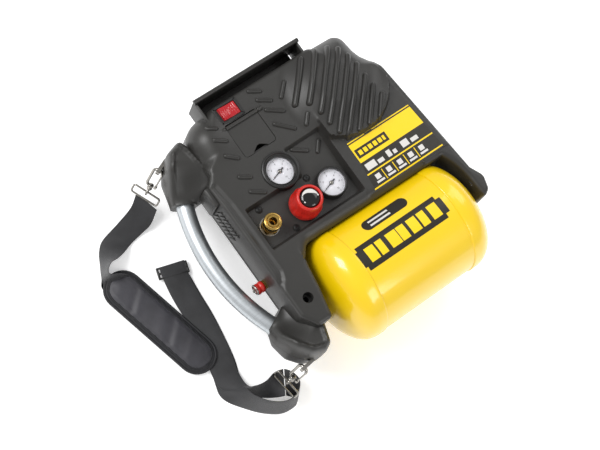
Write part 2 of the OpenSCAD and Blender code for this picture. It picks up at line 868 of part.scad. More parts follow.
module drain_valve_body() {
    color("#c8a24a") on_barrel(drain_x, 180 - drain_tilt) translate([0, 0, tank_r + boss_h])
        difference() {
            cylinder(h = 8, d = 19, $fn = 6);
            translate([0, 0, -1]) cylinder(h = 10, r = 3 + run_fit);
        }
}

module drain_valve_knob() {
    color("#c8a24a") on_barrel(drain_x, 180 - drain_tilt)
        translate([0, 0, tank_r + boss_h + 1]) {
            cylinder(h = 8, r = 3);
            translate([0, 0, 7 + face_fit]) cylinder(h = 5, d = 16);
        }
}

module pressure_switch() {
    color("#2a2a2a") box(-140, -100, 30, 60, 40, 72);
}

// Hose from the tank's outlet port to the manifold
module manifold_hose() {
    color("#1e1e1e") difference() {
        on_barrel(port_x, port_tilt) translate([0, 0, tank_r + boss_h])
            ring(2 * hose_r, hose_r, 2 * boss_d);
        box(port_x - 20, port_x + 20, -face_fit, 60, part_z, front_z);
    }
}

// ---- Motor and pump ----

module motor_stator() {
    color("#8f9194") at_x([stator_x, motor_y, motor_z]) difference() {
        cylinder(h = stator_l, d = stator_d);
        translate([0, 0, -1]) cylinder(h = stator_l + 2, d = shaft_d + 12);
    }
}

module motor_cradle() {
    color("#5a5c5e") difference() {
        box(stator_x + 4, stator_x + stator_l - 4, motor_y - 34, motor_y + 34, wall, motor_z - 20);
        at_x([stator_x - 1, motor_y, motor_z])
            cylinder(h = stator_l + 2, d = stator_d + 2 * face_fit);
    }
}

module motor_shaft() {
    color("#b9b9b5") {
        at_x([fan_x - 4, motor_y, motor_z]) cylinder(h = case_x + case_w - fan_x, r = shaft_r);
        at_x([stator_x + 4, motor_y, motor_z]) cylinder(h = stator_l - 8, r = shaft_r + 5);
    }
}

module cooling_fan() {
    color("#2a2a2a") at_x([fan_x, motor_y, motor_z]) difference() {
        union() {
            cylinder(h = fan_w, r = 16);
            for (i = [0:8]) rotate([0, 0, 40 * i]) translate([14, -1, 1]) rotate([0, 0, 8])
                cube([fan_d / 2 - 15, 2, fan_w - 2]);
        }
        translate([0, 0, -1]) cylinder(h = fan_w + 2, r = shaft_r + press_fit);
    }
}

module crankcase() {
    z0 = motor_z - case_h / 2;
    z1 = motor_z + case_h / 2;
    color("#a5a8aa") difference() {
        box(case_x, case_x + case_w, motor_y - case_h / 2, motor_y + case_h / 2, z0, z1);
        box(case_x + 9, case_x + case_w - 9, motor_y - case_h / 2 - 1, motor_y + case_h / 2 - 5,
            z0 + 5, z1 - 5);
        at_x([case_x - 1, motor_y, motor_z]) cylinder(h = case_w + 2, r = shaft_r + 3);
        at_x([case_x - 1, motor_y, motor_z]) cylinder(h = bearing_w + 1, d = bearing_d);
    }
}

module shaft_bearings() {
    color("#b9b9b5") at_x([case_x, motor_y, motor_z])
        ring(bearing_d, shaft_d + 2 * run_fit, bearing_w);
}

// Drawn with its pin at the middle of the stroke
module eccentric() {
    color("#8a8c8e") at_x([pump_x - 11, motor_y, motor_z]) difference() {
        union() {
            cylinder(h = 6, r = ecc_r + throw + 1.5);
            translate([throw, 0, 5]) cylinder(h = 15, r = ecc_r);
        }
        translate([0, 0, -1]) cylinder(h = 30, r = shaft_r + press_fit);
    }
}

// Rod and piston in one; the big end clears the whole sweep of the eccentric
module piston_rod() {
    big_r = throw + ecc_r + 1;
    color("#c4c6c8") {
        difference() {
            union() {
                at_x([pump_x - 4, motor_y, motor_z]) cylinder(h = 10, r = big_r + 5);
                box(pump_x - 4, pump_x + 6, cyl_y0 + 14, motor_y - big_r - 2, motor_z - 6,
                    motor_z + 6);
            }
            at_x([pump_x - 5, motor_y, motor_z]) cylinder(h = 12, r = big_r);
        }
        at_y([pump_x + 1, cyl_y0 + 8, motor_z]) cylinder(h = 8, r = cyl_bore / 2 - run_fit);
    }
}

module pump_cylinder() {
    color("#b0b3b5") difference() {
        union() {
            at_y([pump_x + 1, cyl_y0, motor_z]) cylinder(h = cyl_y1 - cyl_y0, d = cyl_d - 6);
            for (i = [0:5]) at_y([pump_x + 1, cyl_y0 + 6 * i + 2, motor_z])
                cylinder(h = 2, d = cyl_d);
        }
        at_y([pump_x + 1, cyl_y0 - 1, motor_z]) cylinder(h = 99, d = cyl_bore);
    }
}

module cylinder_head() {
    color("#a5a8aa") difference() {
        box(pump_x + 1 - cyl_d / 2, pump_x + 1 + cyl_d / 2, cyl_y0 - head_h, cyl_y0,
            motor_z - cyl_d / 2, max(motor_z + cyl_d / 2, part_z + pipe_d / 2 + 4));
        at_y([valve_x, cyl_y0 - head_h - 1, part_z]) cylinder(h = 7, d = pipe_d);
    }
}

module air_filter() {
    color("#2a2a2a") at_y([pump_x + 18, cyl_y0 - head_h - 14, motor_z - 14])
        cylinder(h = 14, d = 22);
}

module delivery_pipe() {
    color("#b87333") at_y([valve_x, valve_y + valve_l, part_z])
        ring(pipe_d, pipe_d - 3, cyl_y0 - head_h - valve_y - valve_l + 6);
}

module check_valve() {
    color("#c8a24a") at_y([valve_x, valve_y, part_z]) difference() {
        cylinder(h = valve_l, d = 22, $fn = 6);
        translate([0, 0, -1]) cylinder(h = valve_l + 2, d = 8);
    }
}

module cable_gland() {
    color("#262625") at_y([gland_at[0], top_y - 8, gland_at[1]]) difference() {
        union() {
            cylinder(h = 14, r = gland_r);
            translate([0, 0, 8 + face_fit]) cylinder(h = 8, d = 22, $fn = 6);
            cylinder(h = 8 - wall - face_fit, d = 22);
        }
        translate([0, 0, -1]) cylinder(h = 30, d = 8);
    }
}

// ---- Shoulder strap ----

module at_hook(p, tilt, turn) {
    translate([p[0], p[1], part_z]) rotate([0, tilt, turn]) children();
}
module up_hook() { at_hook(anchor_up, hook_up_tilt, anchor_up_turn) children(); }
module low_hook() { at_hook(anchor_low, hook_low_tilt, anchor_low_turn) children(); }

// Snap hook: its loop passes through the anchor, its eye carries the webbing ring
module hook() {
    translate([loop_r, 0, 0]) rotate([0, 0, 90]) rotate_extrude(angle = 180)
        translate([loop_r, 0]) circle(wire_r, $fn = 24);
    at_x([loop_r - eps, -loop_r, 0]) cylinder(h = gate_l + 1, r = wire_r);
    box(loop_r + gate_l, loop_r + gate_l + hook_base, -loop_r - 2, loop_r - 4, -2.5, 2.5);
    at_x([loop_r + gate_l + hook_base - eps, 0, 0]) cylinder(h = swivel_l, r = swivel_r);
    translate([loop_r + gate_l + 10 + eye_r, 0, 0]) rotate([90, 0, 0]) rotate_extrude()
        translate([eye_r, 0]) circle(wire_r, $fn = 24);
}
module hook_upper() { color("#c0c0bc") up_hook() hook(); }
module hook_lower() { color("#c0c0bc") low_hook() hook(); }

// Sprung gate with the barrel of its pivot
module gate() {
    at_x([loop_r + 0.4, loop_r, 0]) cylinder(h = gate_l, r = wire_r - 0.3);
    translate([loop_r + gate_l + gate_pivot_r, loop_r, 0])
        cylinder(h = 5, r = gate_pivot_r, center = true);
}
module gate_upper() { color("#c0c0bc") up_hook() gate(); }
module gate_lower() { color("#c0c0bc") low_hook() gate(); }

// Rectangular wire ring that the webbing is sewn round
module webbing_ring() {
    x0 = loop_r + gate_l + 10 + 2 * eye_r - wire_r - 1.6;
    half_w = web_w / 2 + 3;
    for (x = [x0, x0 + ring_l]) at_y([x, -half_w, 0]) cylinder(h = 2 * half_w, r = ring_wire_r);
    for (y = [-half_w, half_w]) {
        at_x([x0, y, 0]) cylinder(h = ring_l, r = ring_wire_r);
        for (x = [x0, x0 + ring_l]) translate([x, y, 0]) cube(2 * wire_r, center = true);
    }
}
module webbing_rings() {
    color("#c0c0bc") {
        up_hook() webbing_ring();
        low_hook() webbing_ring();
    }
}

// A flat band of webbing along a middle line
module band(points) {
    for (i = [0:len(points) - 2]) {
        d = points[i + 1] - points[i];
        translate(points[i]) rotate(atan2(d[1], d[0])) translate([0, -web_w / 2])
            square([norm(d), web_w]);
        if (i > 0) translate(points[i]) circle(web_w / 2 + 0.3);
    }
}

module ramp(p, q, z) {
    d = q - p;
    hull() for (e = [[p, 0], [q, z]]) translate([e[0][0], e[0][1], e[1]])
        rotate([0, 0, atan2(d[1], d[0])]) translate([-1, -web_w / 2, 0]) cube([2, web_w, web_t]);
}

module pad_2d(g) {
    translate(pad_at) rotate(pad_turn) {
        square([pad_l - pad_w, pad_w + 2 * g], center = true);
        for (s = [-1, 1]) translate([s * (pad_l - pad_w) / 2, 0]) circle(d = pad_w + 2 * g);
    }
}

module strap_webbing() {
    color("#1d1d1f") {
        slab(0, web_t) difference() {
            union() {
                band(web_upper);
                band(web_lower);
            }
            pad_2d(0.3);
        }
        slab(web_t + 0.3, 2 * web_t + 0.3) difference() {
            band(web_tail);
            pad_2d(0.3);
        }
        ramp(web_upper[0], web_rise, web_rise_h);
    }
}

module strap_slider() {
    color("#1d1d1f") translate([web_tail[0][0], web_tail[0][1] - 16, 2 * web_t + 0.6])
        rotate([0, 0, -4]) difference() {
            translate([-web_w / 2 - 4, -9, 0]) cube([web_w + 8, 18, 4]);
            for (y = [-6, 1.5]) translate([-web_w / 2, y, -1]) cube([web_w, 4.5, 6]);
        }
}

module shoulder_pad() { color("#2c2c30") slab(0, pad_t) pad_2d(0); }

front_shell();
rear_shell();
cord_wrap();
tank_barrel();
tank_ends();
tank_bosses();
tank_brackets();
handle_tube();
strap_anchors();
rubber_feet();
shell_screws();
panel_screws();
switch_housing();
switch_rocker();
door();
door_pin();
accessory_tray();
tank_gauge_case();
tank_gauge_dial();
tank_gauge_needle();
tank_gauge_lens();
outlet_gauge_case();
outlet_gauge_dial();
outlet_gauge_needle();
outlet_gauge_lens();
manifold();
regulator_nut();
regulator_knob();
knob_cap();
coupler_body();
coupler_sleeve();
safety_valve_body();
safety_valve_cap();
safety_valve_ring();
drain_valve_body();
drain_valve_knob();
pressure_switch();
manifold_hose();
motor_stator();
motor_cradle();
motor_shaft();
cooling_fan();
crankcase();
shaft_bearings();
eccentric();
piston_rod();
pump_cylinder();
cylinder_head();
air_filter();
delivery_pipe();
check_valve();
cable_gland();
hook_upper();
hook_lower();
gate_upper();
gate_lower();
webbing_rings();
strap_webbing();
strap_slider();
shoulder_pad();
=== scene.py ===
# %% [markdown]
# # A portable air compressor
# The machine lies on its back on a pale floor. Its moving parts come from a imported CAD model,
# which stays fixed. Round it this lesson builds the surfaces that catch the eye: the softly
# moulded housing, the enamelled tank, the brushed handle, the brass fittings and the strap.

# %% Load the frame
import json
import math

import bmesh
import bpy
import numpy as np
from mathutils import Matrix, Vector, geometry


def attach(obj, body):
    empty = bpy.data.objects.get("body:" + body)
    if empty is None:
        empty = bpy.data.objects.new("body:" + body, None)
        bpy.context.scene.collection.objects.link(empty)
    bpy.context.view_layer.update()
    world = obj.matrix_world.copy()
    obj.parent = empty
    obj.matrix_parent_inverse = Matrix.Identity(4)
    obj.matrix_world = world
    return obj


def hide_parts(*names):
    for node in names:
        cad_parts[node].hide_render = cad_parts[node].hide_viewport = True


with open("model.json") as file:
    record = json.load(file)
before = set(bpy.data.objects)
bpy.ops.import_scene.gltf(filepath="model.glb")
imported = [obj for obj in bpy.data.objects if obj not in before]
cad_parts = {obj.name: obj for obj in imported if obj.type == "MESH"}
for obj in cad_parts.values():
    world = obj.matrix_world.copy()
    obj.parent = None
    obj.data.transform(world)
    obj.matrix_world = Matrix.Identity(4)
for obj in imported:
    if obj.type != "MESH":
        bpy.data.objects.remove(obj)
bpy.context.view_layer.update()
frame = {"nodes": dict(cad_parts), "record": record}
MM = 0.001
ROOT = "compressor"
scene = bpy.context.scene

# %% [markdown]
# ## Camera
# A long lens far above the machine keeps its edges nearly parallel, as a catalogue studio does.
# The camera is set by the direction it looks in and the direction that is up in the picture.

# %% Camera
look = Vector((0.3287, 0.1100, -0.9369)).normalized()
up = Vector((0.5209, 0.8075, 0.2788))
right = look.cross(up).normalized()
up = right.cross(look)
camera_data = bpy.data.cameras.new("studio_camera")
camera_data.lens = 90
camera_data.sensor_width = 36
camera_data.clip_end = 20
camera = bpy.data.objects.new("studio_camera", camera_data)
scene.collection.objects.link(camera)
camera.matrix_world = Matrix((right, up, -look)).transposed().to_4x4()
camera.location = (-0.7565, -0.2374, 2.0479)
scene.camera = camera
print("camera height:", round(camera.location.z, 3), "m")

# %% [markdown]
# ## Floor and light
# The floor is a plain pale sheet. One large soft source overhead and to the left, a weaker one
# on the right and an even sky give broad highlights on the curved tank and no hard shadows.

# %% Floor and light
def srgb(code):
    """A colour such as "#f5d20a", turned from screen values to the linear values of light."""
    values = [int(code[i:i + 2], 16) / 255 for i in (1, 3, 5)]
    return tuple(v / 12.92 if v <= 0.04045 else ((v + 0.055) / 1.055) ** 2.4
                 for v in values) + (1.0,)


def area_light(name, place, target, size, power):
    """A square soft light at place that faces target."""
    data = bpy.data.lights.new(name, "AREA")
    data.size = size
    data.energy = power
    lamp = bpy.data.objects.new(name, data)
    scene.collection.objects.link(lamp)
    lamp.location = place
    lamp.rotation_euler = (Vector(target) - Vector(place)).to_track_quat("-Z", "Y").to_euler()


area_light("key_light", (-1.3, 1.2, 1.9), (0, 0, 0), 1.1, 44)
area_light("fill_light", (1.7, 0.5, 1.8), (0, 0, 0), 1.4, 14)
area_light("tank_light", (0.3, -1.8, 1.5), (0, -0.1, 0.05), 0.9, 12)
world = bpy.data.worlds.new("studio")
scene.world = world
world.use_nodes = True
world.node_tree.nodes["Background"].inputs["Color"].default_value = srgb("#ffffff")
world.node_tree.nodes["Background"].inputs["Strength"].default_value = 0.55
# Plain screen colours: no film curve, so an enamel's yellow stays as strong as its hex value.
scene.view_settings.view_transform = "Standard"

# %% [markdown]
# ## Materials
# Each finish starts from what the real one is. Patterns use object coordinates, and since every
# piece is modelled in place, those are metres on the machine: a grain of 0.8 mm is a noise scale
# of one over 0.0008.

# %% A material and its nodes
def add(material, kind, settings=None, links=None):
    """Adds one node. Capitalised settings are input values, the others are properties."""
    node = material.node_tree.nodes.new(kind)
    for key, value in (settings or {}).items():
        if key[0].isupper():
            node.inputs[key].default_value = value
        else:
            setattr(node, key, value)
    for key, (source, output) in (links or {}).items():
        material.node_tree.links.new(source.outputs[output], node.inputs[key])
    return node


def blank(name):
    """A new material with nothing in its node tree."""
    material = bpy.data.materials.new(name)
    material.use_nodes = True
    material.node_tree.nodes.clear()
    return material


def complete(material, colour, shader):
    """Links a colour mix to the shader, and the shader to the output."""
    material.node_tree.links.new(colour.outputs[2], shader.inputs["Base Color"])
    add(material, "ShaderNodeOutputMaterial", None, {"Surface": (shader, "BSDF")})


def finish(name, colour, second, patch_mm, grain_mm, grain_depth_mm, **shader):
    """A surface whose colour drifts between two close tones and whose grain is a fine bump."""
    material = blank(name)
    place = add(material, "ShaderNodeTexCoord")
    drift = add(material, "ShaderNodeTexNoise", {"Scale": 1000 / patch_mm, "Detail": 4.0},
                {"Vector": (place, "Object")})
    tone = add(material, "ShaderNodeMix", {"data_type": "RGBA"}, {"Factor": (drift, "Fac")})
    tone.inputs[6].default_value = srgb(colour)
    tone.inputs[7].default_value = srgb(second)
    grain = add(material, "ShaderNodeTexNoise", {"Scale": 1000 / grain_mm, "Detail": 2.0},
                {"Vector": (place, "Object")})
    bump = add(material, "ShaderNodeBump", {"Strength": 1.0, "Distance": grain_depth_mm * MM},
               {"Height": (grain, "Fac")})
    settings = {key.replace("_", " ").title().replace("Ior", "IOR"): value
                for key, value in shader.items()}
    body = add(material, "ShaderNodeBsdfPrincipled", settings, {"Normal": (bump, "Normal")})
    complete(material, tone, body)
    return material


# %% Plastics, rubber and paint
# Spark-eroded polypropylene: a fine even grain that breaks highlights into a satin sheen.
housing_plastic = finish("moulded_polypropylene", "#272624", "#302f2d", 60, 0.9, 0.10,
                         roughness=0.42, ior=1.49)
# The rear moulding is the same plastic, made slightly darker as painted shade where it faces the
# floor.
rear_plastic_painted_shade = finish("moulded_polypropylene_rear_painted_shade", "#201f1e", "#272625", 60, 0.9, 0.10,
                      roughness=0.45, ior=1.49)
# Glass-filled nylon for frames and buckles: near black, a little rougher.
black_plastic = finish("black_nylon", "#171716", "#1f1f1e", 25, 0.7, 0.06,
                       roughness=0.38, ior=1.53)
gloss_black = finish("polished_abs_black", "#070707", "#0b0b0b", 20, 6.0, 0.02,
                     roughness=0.09, ior=1.54)
red_plastic = finish("red_abs", "#c9261c", "#bd2018", 18, 1.2, 0.04, roughness=0.3, ior=1.54)
# A lit rocker is dyed polycarbonate: light goes in and comes back deeper red.
red_clear = finish("red_polycarbonate", "#d0202a", "#b3101c", 8, 2.0, 0.05, roughness=0.16,
                   ior=1.58, transmission_weight=0.25)
pale_plastic = finish("natural_acetal", "#d8d5cb", "#cbc7bb", 14, 1.0, 0.03, roughness=0.35)
rubber = finish("moulded_rubber", "#161616", "#202020", 12, 0.8, 0.10, roughness=0.8)
# Powder-coated enamel over steel: smooth colour under a clear film with slight orange peel.
enamel = finish("yellow_enamel", "#f5cf04", "#f2c800", 90, 3.0, 0.035, roughness=0.3,
                coat_weight=0.7, coat_roughness=0.09)
print("plastics and paint ready")

# %% Metals
brass = finish("turned_brass", "#c9aa64", "#a88540", 6, 0.5, 0.02, metallic=1.0, roughness=0.27)
nickel = finish("nickel_plated_steel", "#a9a6a0", "#8a8782", 7, 0.6, 0.02, metallic=1.0,
                roughness=0.24)
dark_steel = finish("phosphated_steel", "#3a3a3a", "#2a2a2a", 6, 0.6, 0.04, metallic=0.8,
                    roughness=0.45)
cast_metal = finish("cast_aluminium", "#a9abab", "#8f9192", 8, 1.0, 0.15, metallic=1.0,
                    roughness=0.5)
copper = finish("copper_tube", "#c47a4a", "#a8623a", 8, 0.8, 0.02, metallic=1.0, roughness=0.3)
# Ink and card of the instrument faces, and the two printed label films.
dial_card = finish("printed_dial_white", "#e9e9ee", "#e2e2e8", 9, 1.0, 0.01, roughness=0.5)
ink = finish("printing_ink", "#1c1c20", "#26262a", 5, 0.5, 0.01, roughness=0.5)
label_yellow = finish("yellow_label_film", "#f6d20e", "#f2cc08", 40, 2.0, 0.01, roughness=0.3)
label_black = finish("black_label_film", "#1d1a12", "#242019", 40, 2.0, 0.01, roughness=0.3)
label_white = finish("white_label_print", "#d9d6d2", "#cfccc8", 30, 2.0, 0.01, roughness=0.35)
print("metals and films ready")

# %% Brushed aluminium
# The tube is extruded, brushed round its girth and clear anodised. The scratches run round the
# tube, so the noise is squeezed along the tube's length, here mostly the Y axis.
tube_metal = blank("brushed_anodised_aluminium")
place = add(tube_metal, "ShaderNodeTexCoord")
squeeze = add(tube_metal, "ShaderNodeMapping", {"Scale": (0.08, 1.0, 0.08)},
              {"Vector": (place, "Object")})
lines = add(tube_metal, "ShaderNodeTexNoise", {"Scale": 1000 / 1.1, "Detail": 3.0},
            {"Vector": (squeeze, "Vector")})
tone = add(tube_metal, "ShaderNodeMix", {"data_type": "RGBA"}, {"Factor": (lines, "Fac")})
tone.inputs[6].default_value = srgb("#b4babe")
tone.inputs[7].default_value = srgb("#d6dadd")
rough = add(tube_metal, "ShaderNodeMapRange", {"To Min": 0.38, "To Max": 0.52},
            {"Value": (lines, "Fac")})
bump = add(tube_metal, "ShaderNodeBump", {"Strength": 1.0, "Distance": 0.03 * MM},
           {"Height": (lines, "Fac")})
metal = add(tube_metal, "ShaderNodeBsdfPrincipled", {"Metallic": 1.0},
            {"Roughness": (rough, "Result"), "Normal": (bump, "Normal")})
complete(tube_metal, tone, metal)

# %% Clear lens
lens_clear = finish("acrylic_lens", "#ffffff", "#fbfcfd", 30, 5.0, 0.005, roughness=0.04,
                    ior=1.49, transmission_weight=1.0, alpha=0.25)

# %% Woven webbing and padded nylon
def woven(name, dark, light, thread_mm, depth_mm, turn, coordinates, roughness):
    """Two sets of parallel threads, at right angles, that together make a plain weave."""
    material = blank(name)
    spot = add(material, "ShaderNodeTexCoord")
    turned = add(material, "ShaderNodeMapping", {"Rotation": (0, 0, turn)},
                 {"Vector": (spot, coordinates)})
    waves = [add(material, "ShaderNodeTexWave",
                 {"Scale": 1000 / thread_mm / 6.283 * 2, "Distortion": 0.6, "bands_direction": d,
                  "Detail Scale": 2.0}, {"Vector": (turned, "Vector")}) for d in "XY"]
    cloth = add(material, "ShaderNodeMath", {"operation": "MULTIPLY"})
    for i, wave in enumerate(waves):
        material.node_tree.links.new(wave.outputs["Fac"], cloth.inputs[i])
    wear = add(material, "ShaderNodeTexNoise", {"Scale": 1000 / 25, "Detail": 5.0},
               {"Vector": (spot, "Object")})
    both = add(material, "ShaderNodeMath", {"operation": "MULTIPLY_ADD"},
               {0: (cloth, "Value"), 1: (wear, "Fac"), 2: (wear, "Fac")})
    shade = add(material, "ShaderNodeMix", {"data_type": "RGBA"}, {"Factor": (both, "Value")})
    shade.inputs[6].default_value = srgb(dark)
    shade.inputs[7].default_value = srgb(light)
    relief_bump = add(material, "ShaderNodeBump", {"Strength": 1.0, "Distance": depth_mm * MM},
                      {"Height": (cloth, "Value")})
    thread = add(material, "ShaderNodeBsdfPrincipled",
                 {"Roughness": roughness, "Sheen Weight": 0.25, "Sheen Roughness": 0.4},
                 {"Normal": (relief_bump, "Normal")})
    complete(material, shade, thread)
    return material


# Polyester webbing of about 1.2 mm yarns, and 420 denier nylon drawn at 0.9 mm so it shows.
webbing_cloth = woven("polyester_webbing", "#1b1b1c", "#38383a", 1.2, 0.15, 0.0, "UV", 0.62)
pad_cloth = woven("coated_nylon_cloth", "#242327", "#3b3a40", 0.9, 0.06, 0.3, "Object", 0.5)
piping_cloth = finish("bias_binding", "#151517", "#202024", 10, 0.9, 0.15, roughness=0.65)
print("materials:", len(bpy.data.materials))

# %% [markdown]
# ## Floor
# The floor's sheet is wide enough that its edge never shows.

# %% Floor
floor_paper = finish("paper_backdrop", "#ffffff", "#fdfdfd", 300, 4.0, 0.01, roughness=0.9,
                     emission_strength=0.35)
bpy.ops.mesh.primitive_plane_add(size=8, location=(0, 0, -0.0005))
floor = bpy.context.object
floor.name = "studio_floor"
floor.data.materials.append(floor_paper)

# %% [markdown]
# ## Small mesh builders
# A few functions cover most pieces: one turns a profile on a lathe, one draws a section along a
# path, one makes a block with rounded edges. All sizes are millimetres, turned to metres once.

# %% From points to a piece
def piece(name, points, faces, material, body=ROOT, sharp=35):
    """A mesh object from millimetre points, smooth-shaded up to the sharp angle."""
    mesh = bpy.data.meshes.new(name)
    mesh.from_pydata([tuple(c * MM for c in p) for p in points], [], faces)
    mesh.validate()
    tidy_mesh = bmesh.new()
    tidy_mesh.from_mesh(mesh)
    bmesh.ops.remove_doubles(tidy_mesh, verts=tidy_mesh.verts, dist=1e-6)
    bmesh.ops.recalc_face_normals(tidy_mesh, faces=tidy_mesh.faces)
    tidy_mesh.to_mesh(mesh)
    tidy_mesh.free()
    mesh.shade_smooth()
    mesh.set_sharp_from_angle(angle=math.radians(sharp))
    mesh.materials.append(material)
    made = bpy.data.objects.new(name, mesh)
    scene.collection.objects.link(made)
    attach(made, body)
    return made


def basis(direction):
    """A matrix whose third column is the given direction."""
    return Vector(direction).normalized().to_track_quat("Z", "Y").to_matrix()


def lathe(name, profile, at, axis, material, body=ROOT, steps=64, sharp=35, radius=None):
    """Turns (radius, height) pairs about an axis through at. radius can vary them by angle."""
    m, points, faces, n = basis(axis), [], [], len(profile)
    for i in range(steps):
        a = 2 * math.pi * i / steps
        for r, h in profile:
            s = r if radius is None else radius(r, h, a)
            points.append(Vector(at) + m @ Vector((s * math.cos(a), s * math.sin(a), h)))
    for i in range(steps):
        for j in range(n - 1):
            k = (i + 1) % steps
            faces.append((i * n + j, k * n + j, k * n + j + 1, i * n + j + 1))
    return piece(name, points, faces, material, body, sharp)


def sweep(name, path, section, material, body=ROOT, closed=False, sharp=40, turn=None):
    """Draws a closed section, a list of (side, up) pairs, along a path."""
    path = [Vector(p) for p in path]
    count, n = len(path), len(section)
    points, faces, side = [], [], None
    for i, p in enumerate(path):
        ahead = path[(i + 1) % count] if closed or i + 1 < count else p
        behind = path[i - 1] if closed or i else p
        t = (ahead - behind).normalized()
        if side is None:
            side = t.orthogonal().normalized() if turn is None else Vector(turn)
        side = (side - t * side.dot(t)).normalized()
        rise = t.cross(side)
        points += [p + side * a + rise * b for a, b in section]
    spans = count if closed else count - 1
    for i in range(spans):
        j = (i + 1) % count
        faces += [(i * n + k, i * n + (k + 1) % n, j * n + (k + 1) % n, j * n + k)
                  for k in range(n)]
    if not closed:
        faces += [tuple(range(n))[::-1], tuple((count - 1) * n + k for k in range(n))]
    return piece(name, points, faces, material, body, sharp)


def ring_faces(rings, n):
    """The faces between closed rings of n points each."""
    return [(j * n + i, j * n + (i + 1) % n, (j + 1) * n + (i + 1) % n, (j + 1) * n + i)
            for j in range(rings - 1) for i in range(n)]


def nested(outline, levels):
    """The points of an outline moved inwards and set to a height, for (inset, height) levels."""
    return [(x, y, z) for d, z in levels for x, y in (inset(outline, d) if d else outline)]


def disc(r, steps=16):
    """A round section of radius r."""
    return [(r * math.cos(2 * math.pi * i / steps), r * math.sin(2 * math.pi * i / steps))
            for i in range(steps)]


def block(name, low, high, edge, material, body=ROOT, turn=None, about=None, segments=3):
    """A box with rounded edges between two corners, turned by a matrix about a point."""
    shape = bmesh.new()
    bmesh.ops.create_cube(shape, size=1)
    low, high = Vector(low), Vector(high)
    for v in shape.verts:
        v.co = (low + high) / 2 + Vector(c * d for c, d in zip(v.co, high - low))
    if edge:
        bmesh.ops.bevel(shape, geom=shape.edges[:], offset=edge, segments=segments, profile=0.5,
                        affect="EDGES")
    if turn is not None:
        centre = Vector(about) if about is not None else (low + high) / 2
        for v in shape.verts:
            v.co = centre + turn @ (v.co - centre)
    points = [tuple(v.co) for v in shape.verts]
    faces = [tuple(v.index for v in f.verts) for f in shape.faces]
    shape.free()
    return piece(name, points, faces, material, body, 50)


def join(name, pieces):
    """Joins pieces that share a body into one object."""
    with bpy.context.temp_override(active_object=pieces[0], selected_editable_objects=pieces):
        bpy.ops.object.join()
    pieces[0].name = name
    return pieces[0]


# %% [markdown]
# ## The moulded housing as a height map
# A large moulding is mostly one surface whose height changes gently, with a few sharp steps. So
# it is built as a triangulated sheet: the outline, rings just inside it for the rounded rim, the
# step lines of each recess, and an even grid between them. Each point's height then comes from a
# function, and steps stay crisp because their two edges are lines of the mesh.

# %% Outlines and distances
def rounded(corners, step=2.0):
    """A closed outline from (x, y, radius) corners, each rounded with a true arc."""
    loop, count = [], len(corners)
    for i, (x, y, r) in enumerate(corners):
        p = Vector((x, y))
        a = Vector(corners[i - 1][:2]) - p
        b = Vector(corners[(i + 1) % count][:2]) - p
        half = a.angle(b) / 2
        if r < 0.01 or half > 1.56:
            loop.append(p)
            continue
        reach = min(r / math.tan(half), 0.49 * a.length, 0.49 * b.length)
        r = reach * math.tan(half)
        centre = p + (a.normalized() + b.normalized()).normalized() * (r / math.sin(half))
        start, end = p + a.normalized() * reach - centre, p + b.normalized() * reach - centre
        sweep_angle = start.angle_signed(end)
        parts = max(3, int(abs(sweep_angle) * r / step) + 2)
        loop += [centre + Matrix.Rotation(-sweep_angle * k / parts, 2) @ start
                 for k in range(parts + 1)]
    even = []
    for i, p in enumerate(loop):
        q = loop[(i + 1) % len(loop)]
        parts = max(1, int((q - p).length / (2 * step)) + 1)
        even += [p.lerp(q, k / parts) for k in range(parts)]
    kept = [p for i, p in enumerate(even) if (p - even[i - 1]).length > 0.05]
    return np.array([tuple(p) for p in kept])


def distance(points, loop, closed=True):
    """Distance from each point to a line, positive inside it when it is closed."""
    points = np.asarray(points, float)
    a = np.asarray(loop, float)
    b = np.roll(a, -1, axis=0)
    if not closed:
        a, b = a[:-1], b[:-1]
    best = np.full(len(points), 1e9)
    inside = np.zeros(len(points), bool)
    for (x0, y0), (x1, y1) in zip(a, b):
        dx, dy = x1 - x0, y1 - y0
        t = np.clip(((points[:, 0] - x0) * dx + (points[:, 1] - y0) * dy)
                    / max(dx * dx + dy * dy, 1e-12), 0, 1)
        best = np.minimum(best, np.hypot(points[:, 0] - x0 - t * dx, points[:, 1] - y0 - t * dy))
        if closed and abs(dy) > 1e-12:
            crosses = ((y0 > points[:, 1]) != (y1 > points[:, 1])) & (
                points[:, 0] < dx * (points[:, 1] - y0) / dy + x0)
            inside ^= crosses
    return np.where(inside, best, -best) if closed else best


def ease(t):
    """0 below 0, 1 above 1, and a smooth rise between."""
    t = np.clip(t, 0, 1)
    return t * t * (3 - 2 * t)


def inset(loop, d):
    """The outline moved inwards by d."""
    area = 0.5 * np.sum(loop[:, 0] * np.roll(loop[:, 1], -1) - np.roll(loop[:, 0], -1) * loop[:, 1])
    before, after = loop - np.roll(loop, 1, axis=0), np.roll(loop, -1, axis=0) - loop
    t = before / np.linalg.norm(before, axis=1)[:, None] + after / np.linalg.norm(
        after, axis=1)[:, None]
    t /= np.maximum(np.linalg.norm(t, axis=1), 1e-9)[:, None]
    normal = np.stack([-t[:, 1], t[:, 0]], 1) * (1 if area > 0 else -1)
    return loop + normal * d


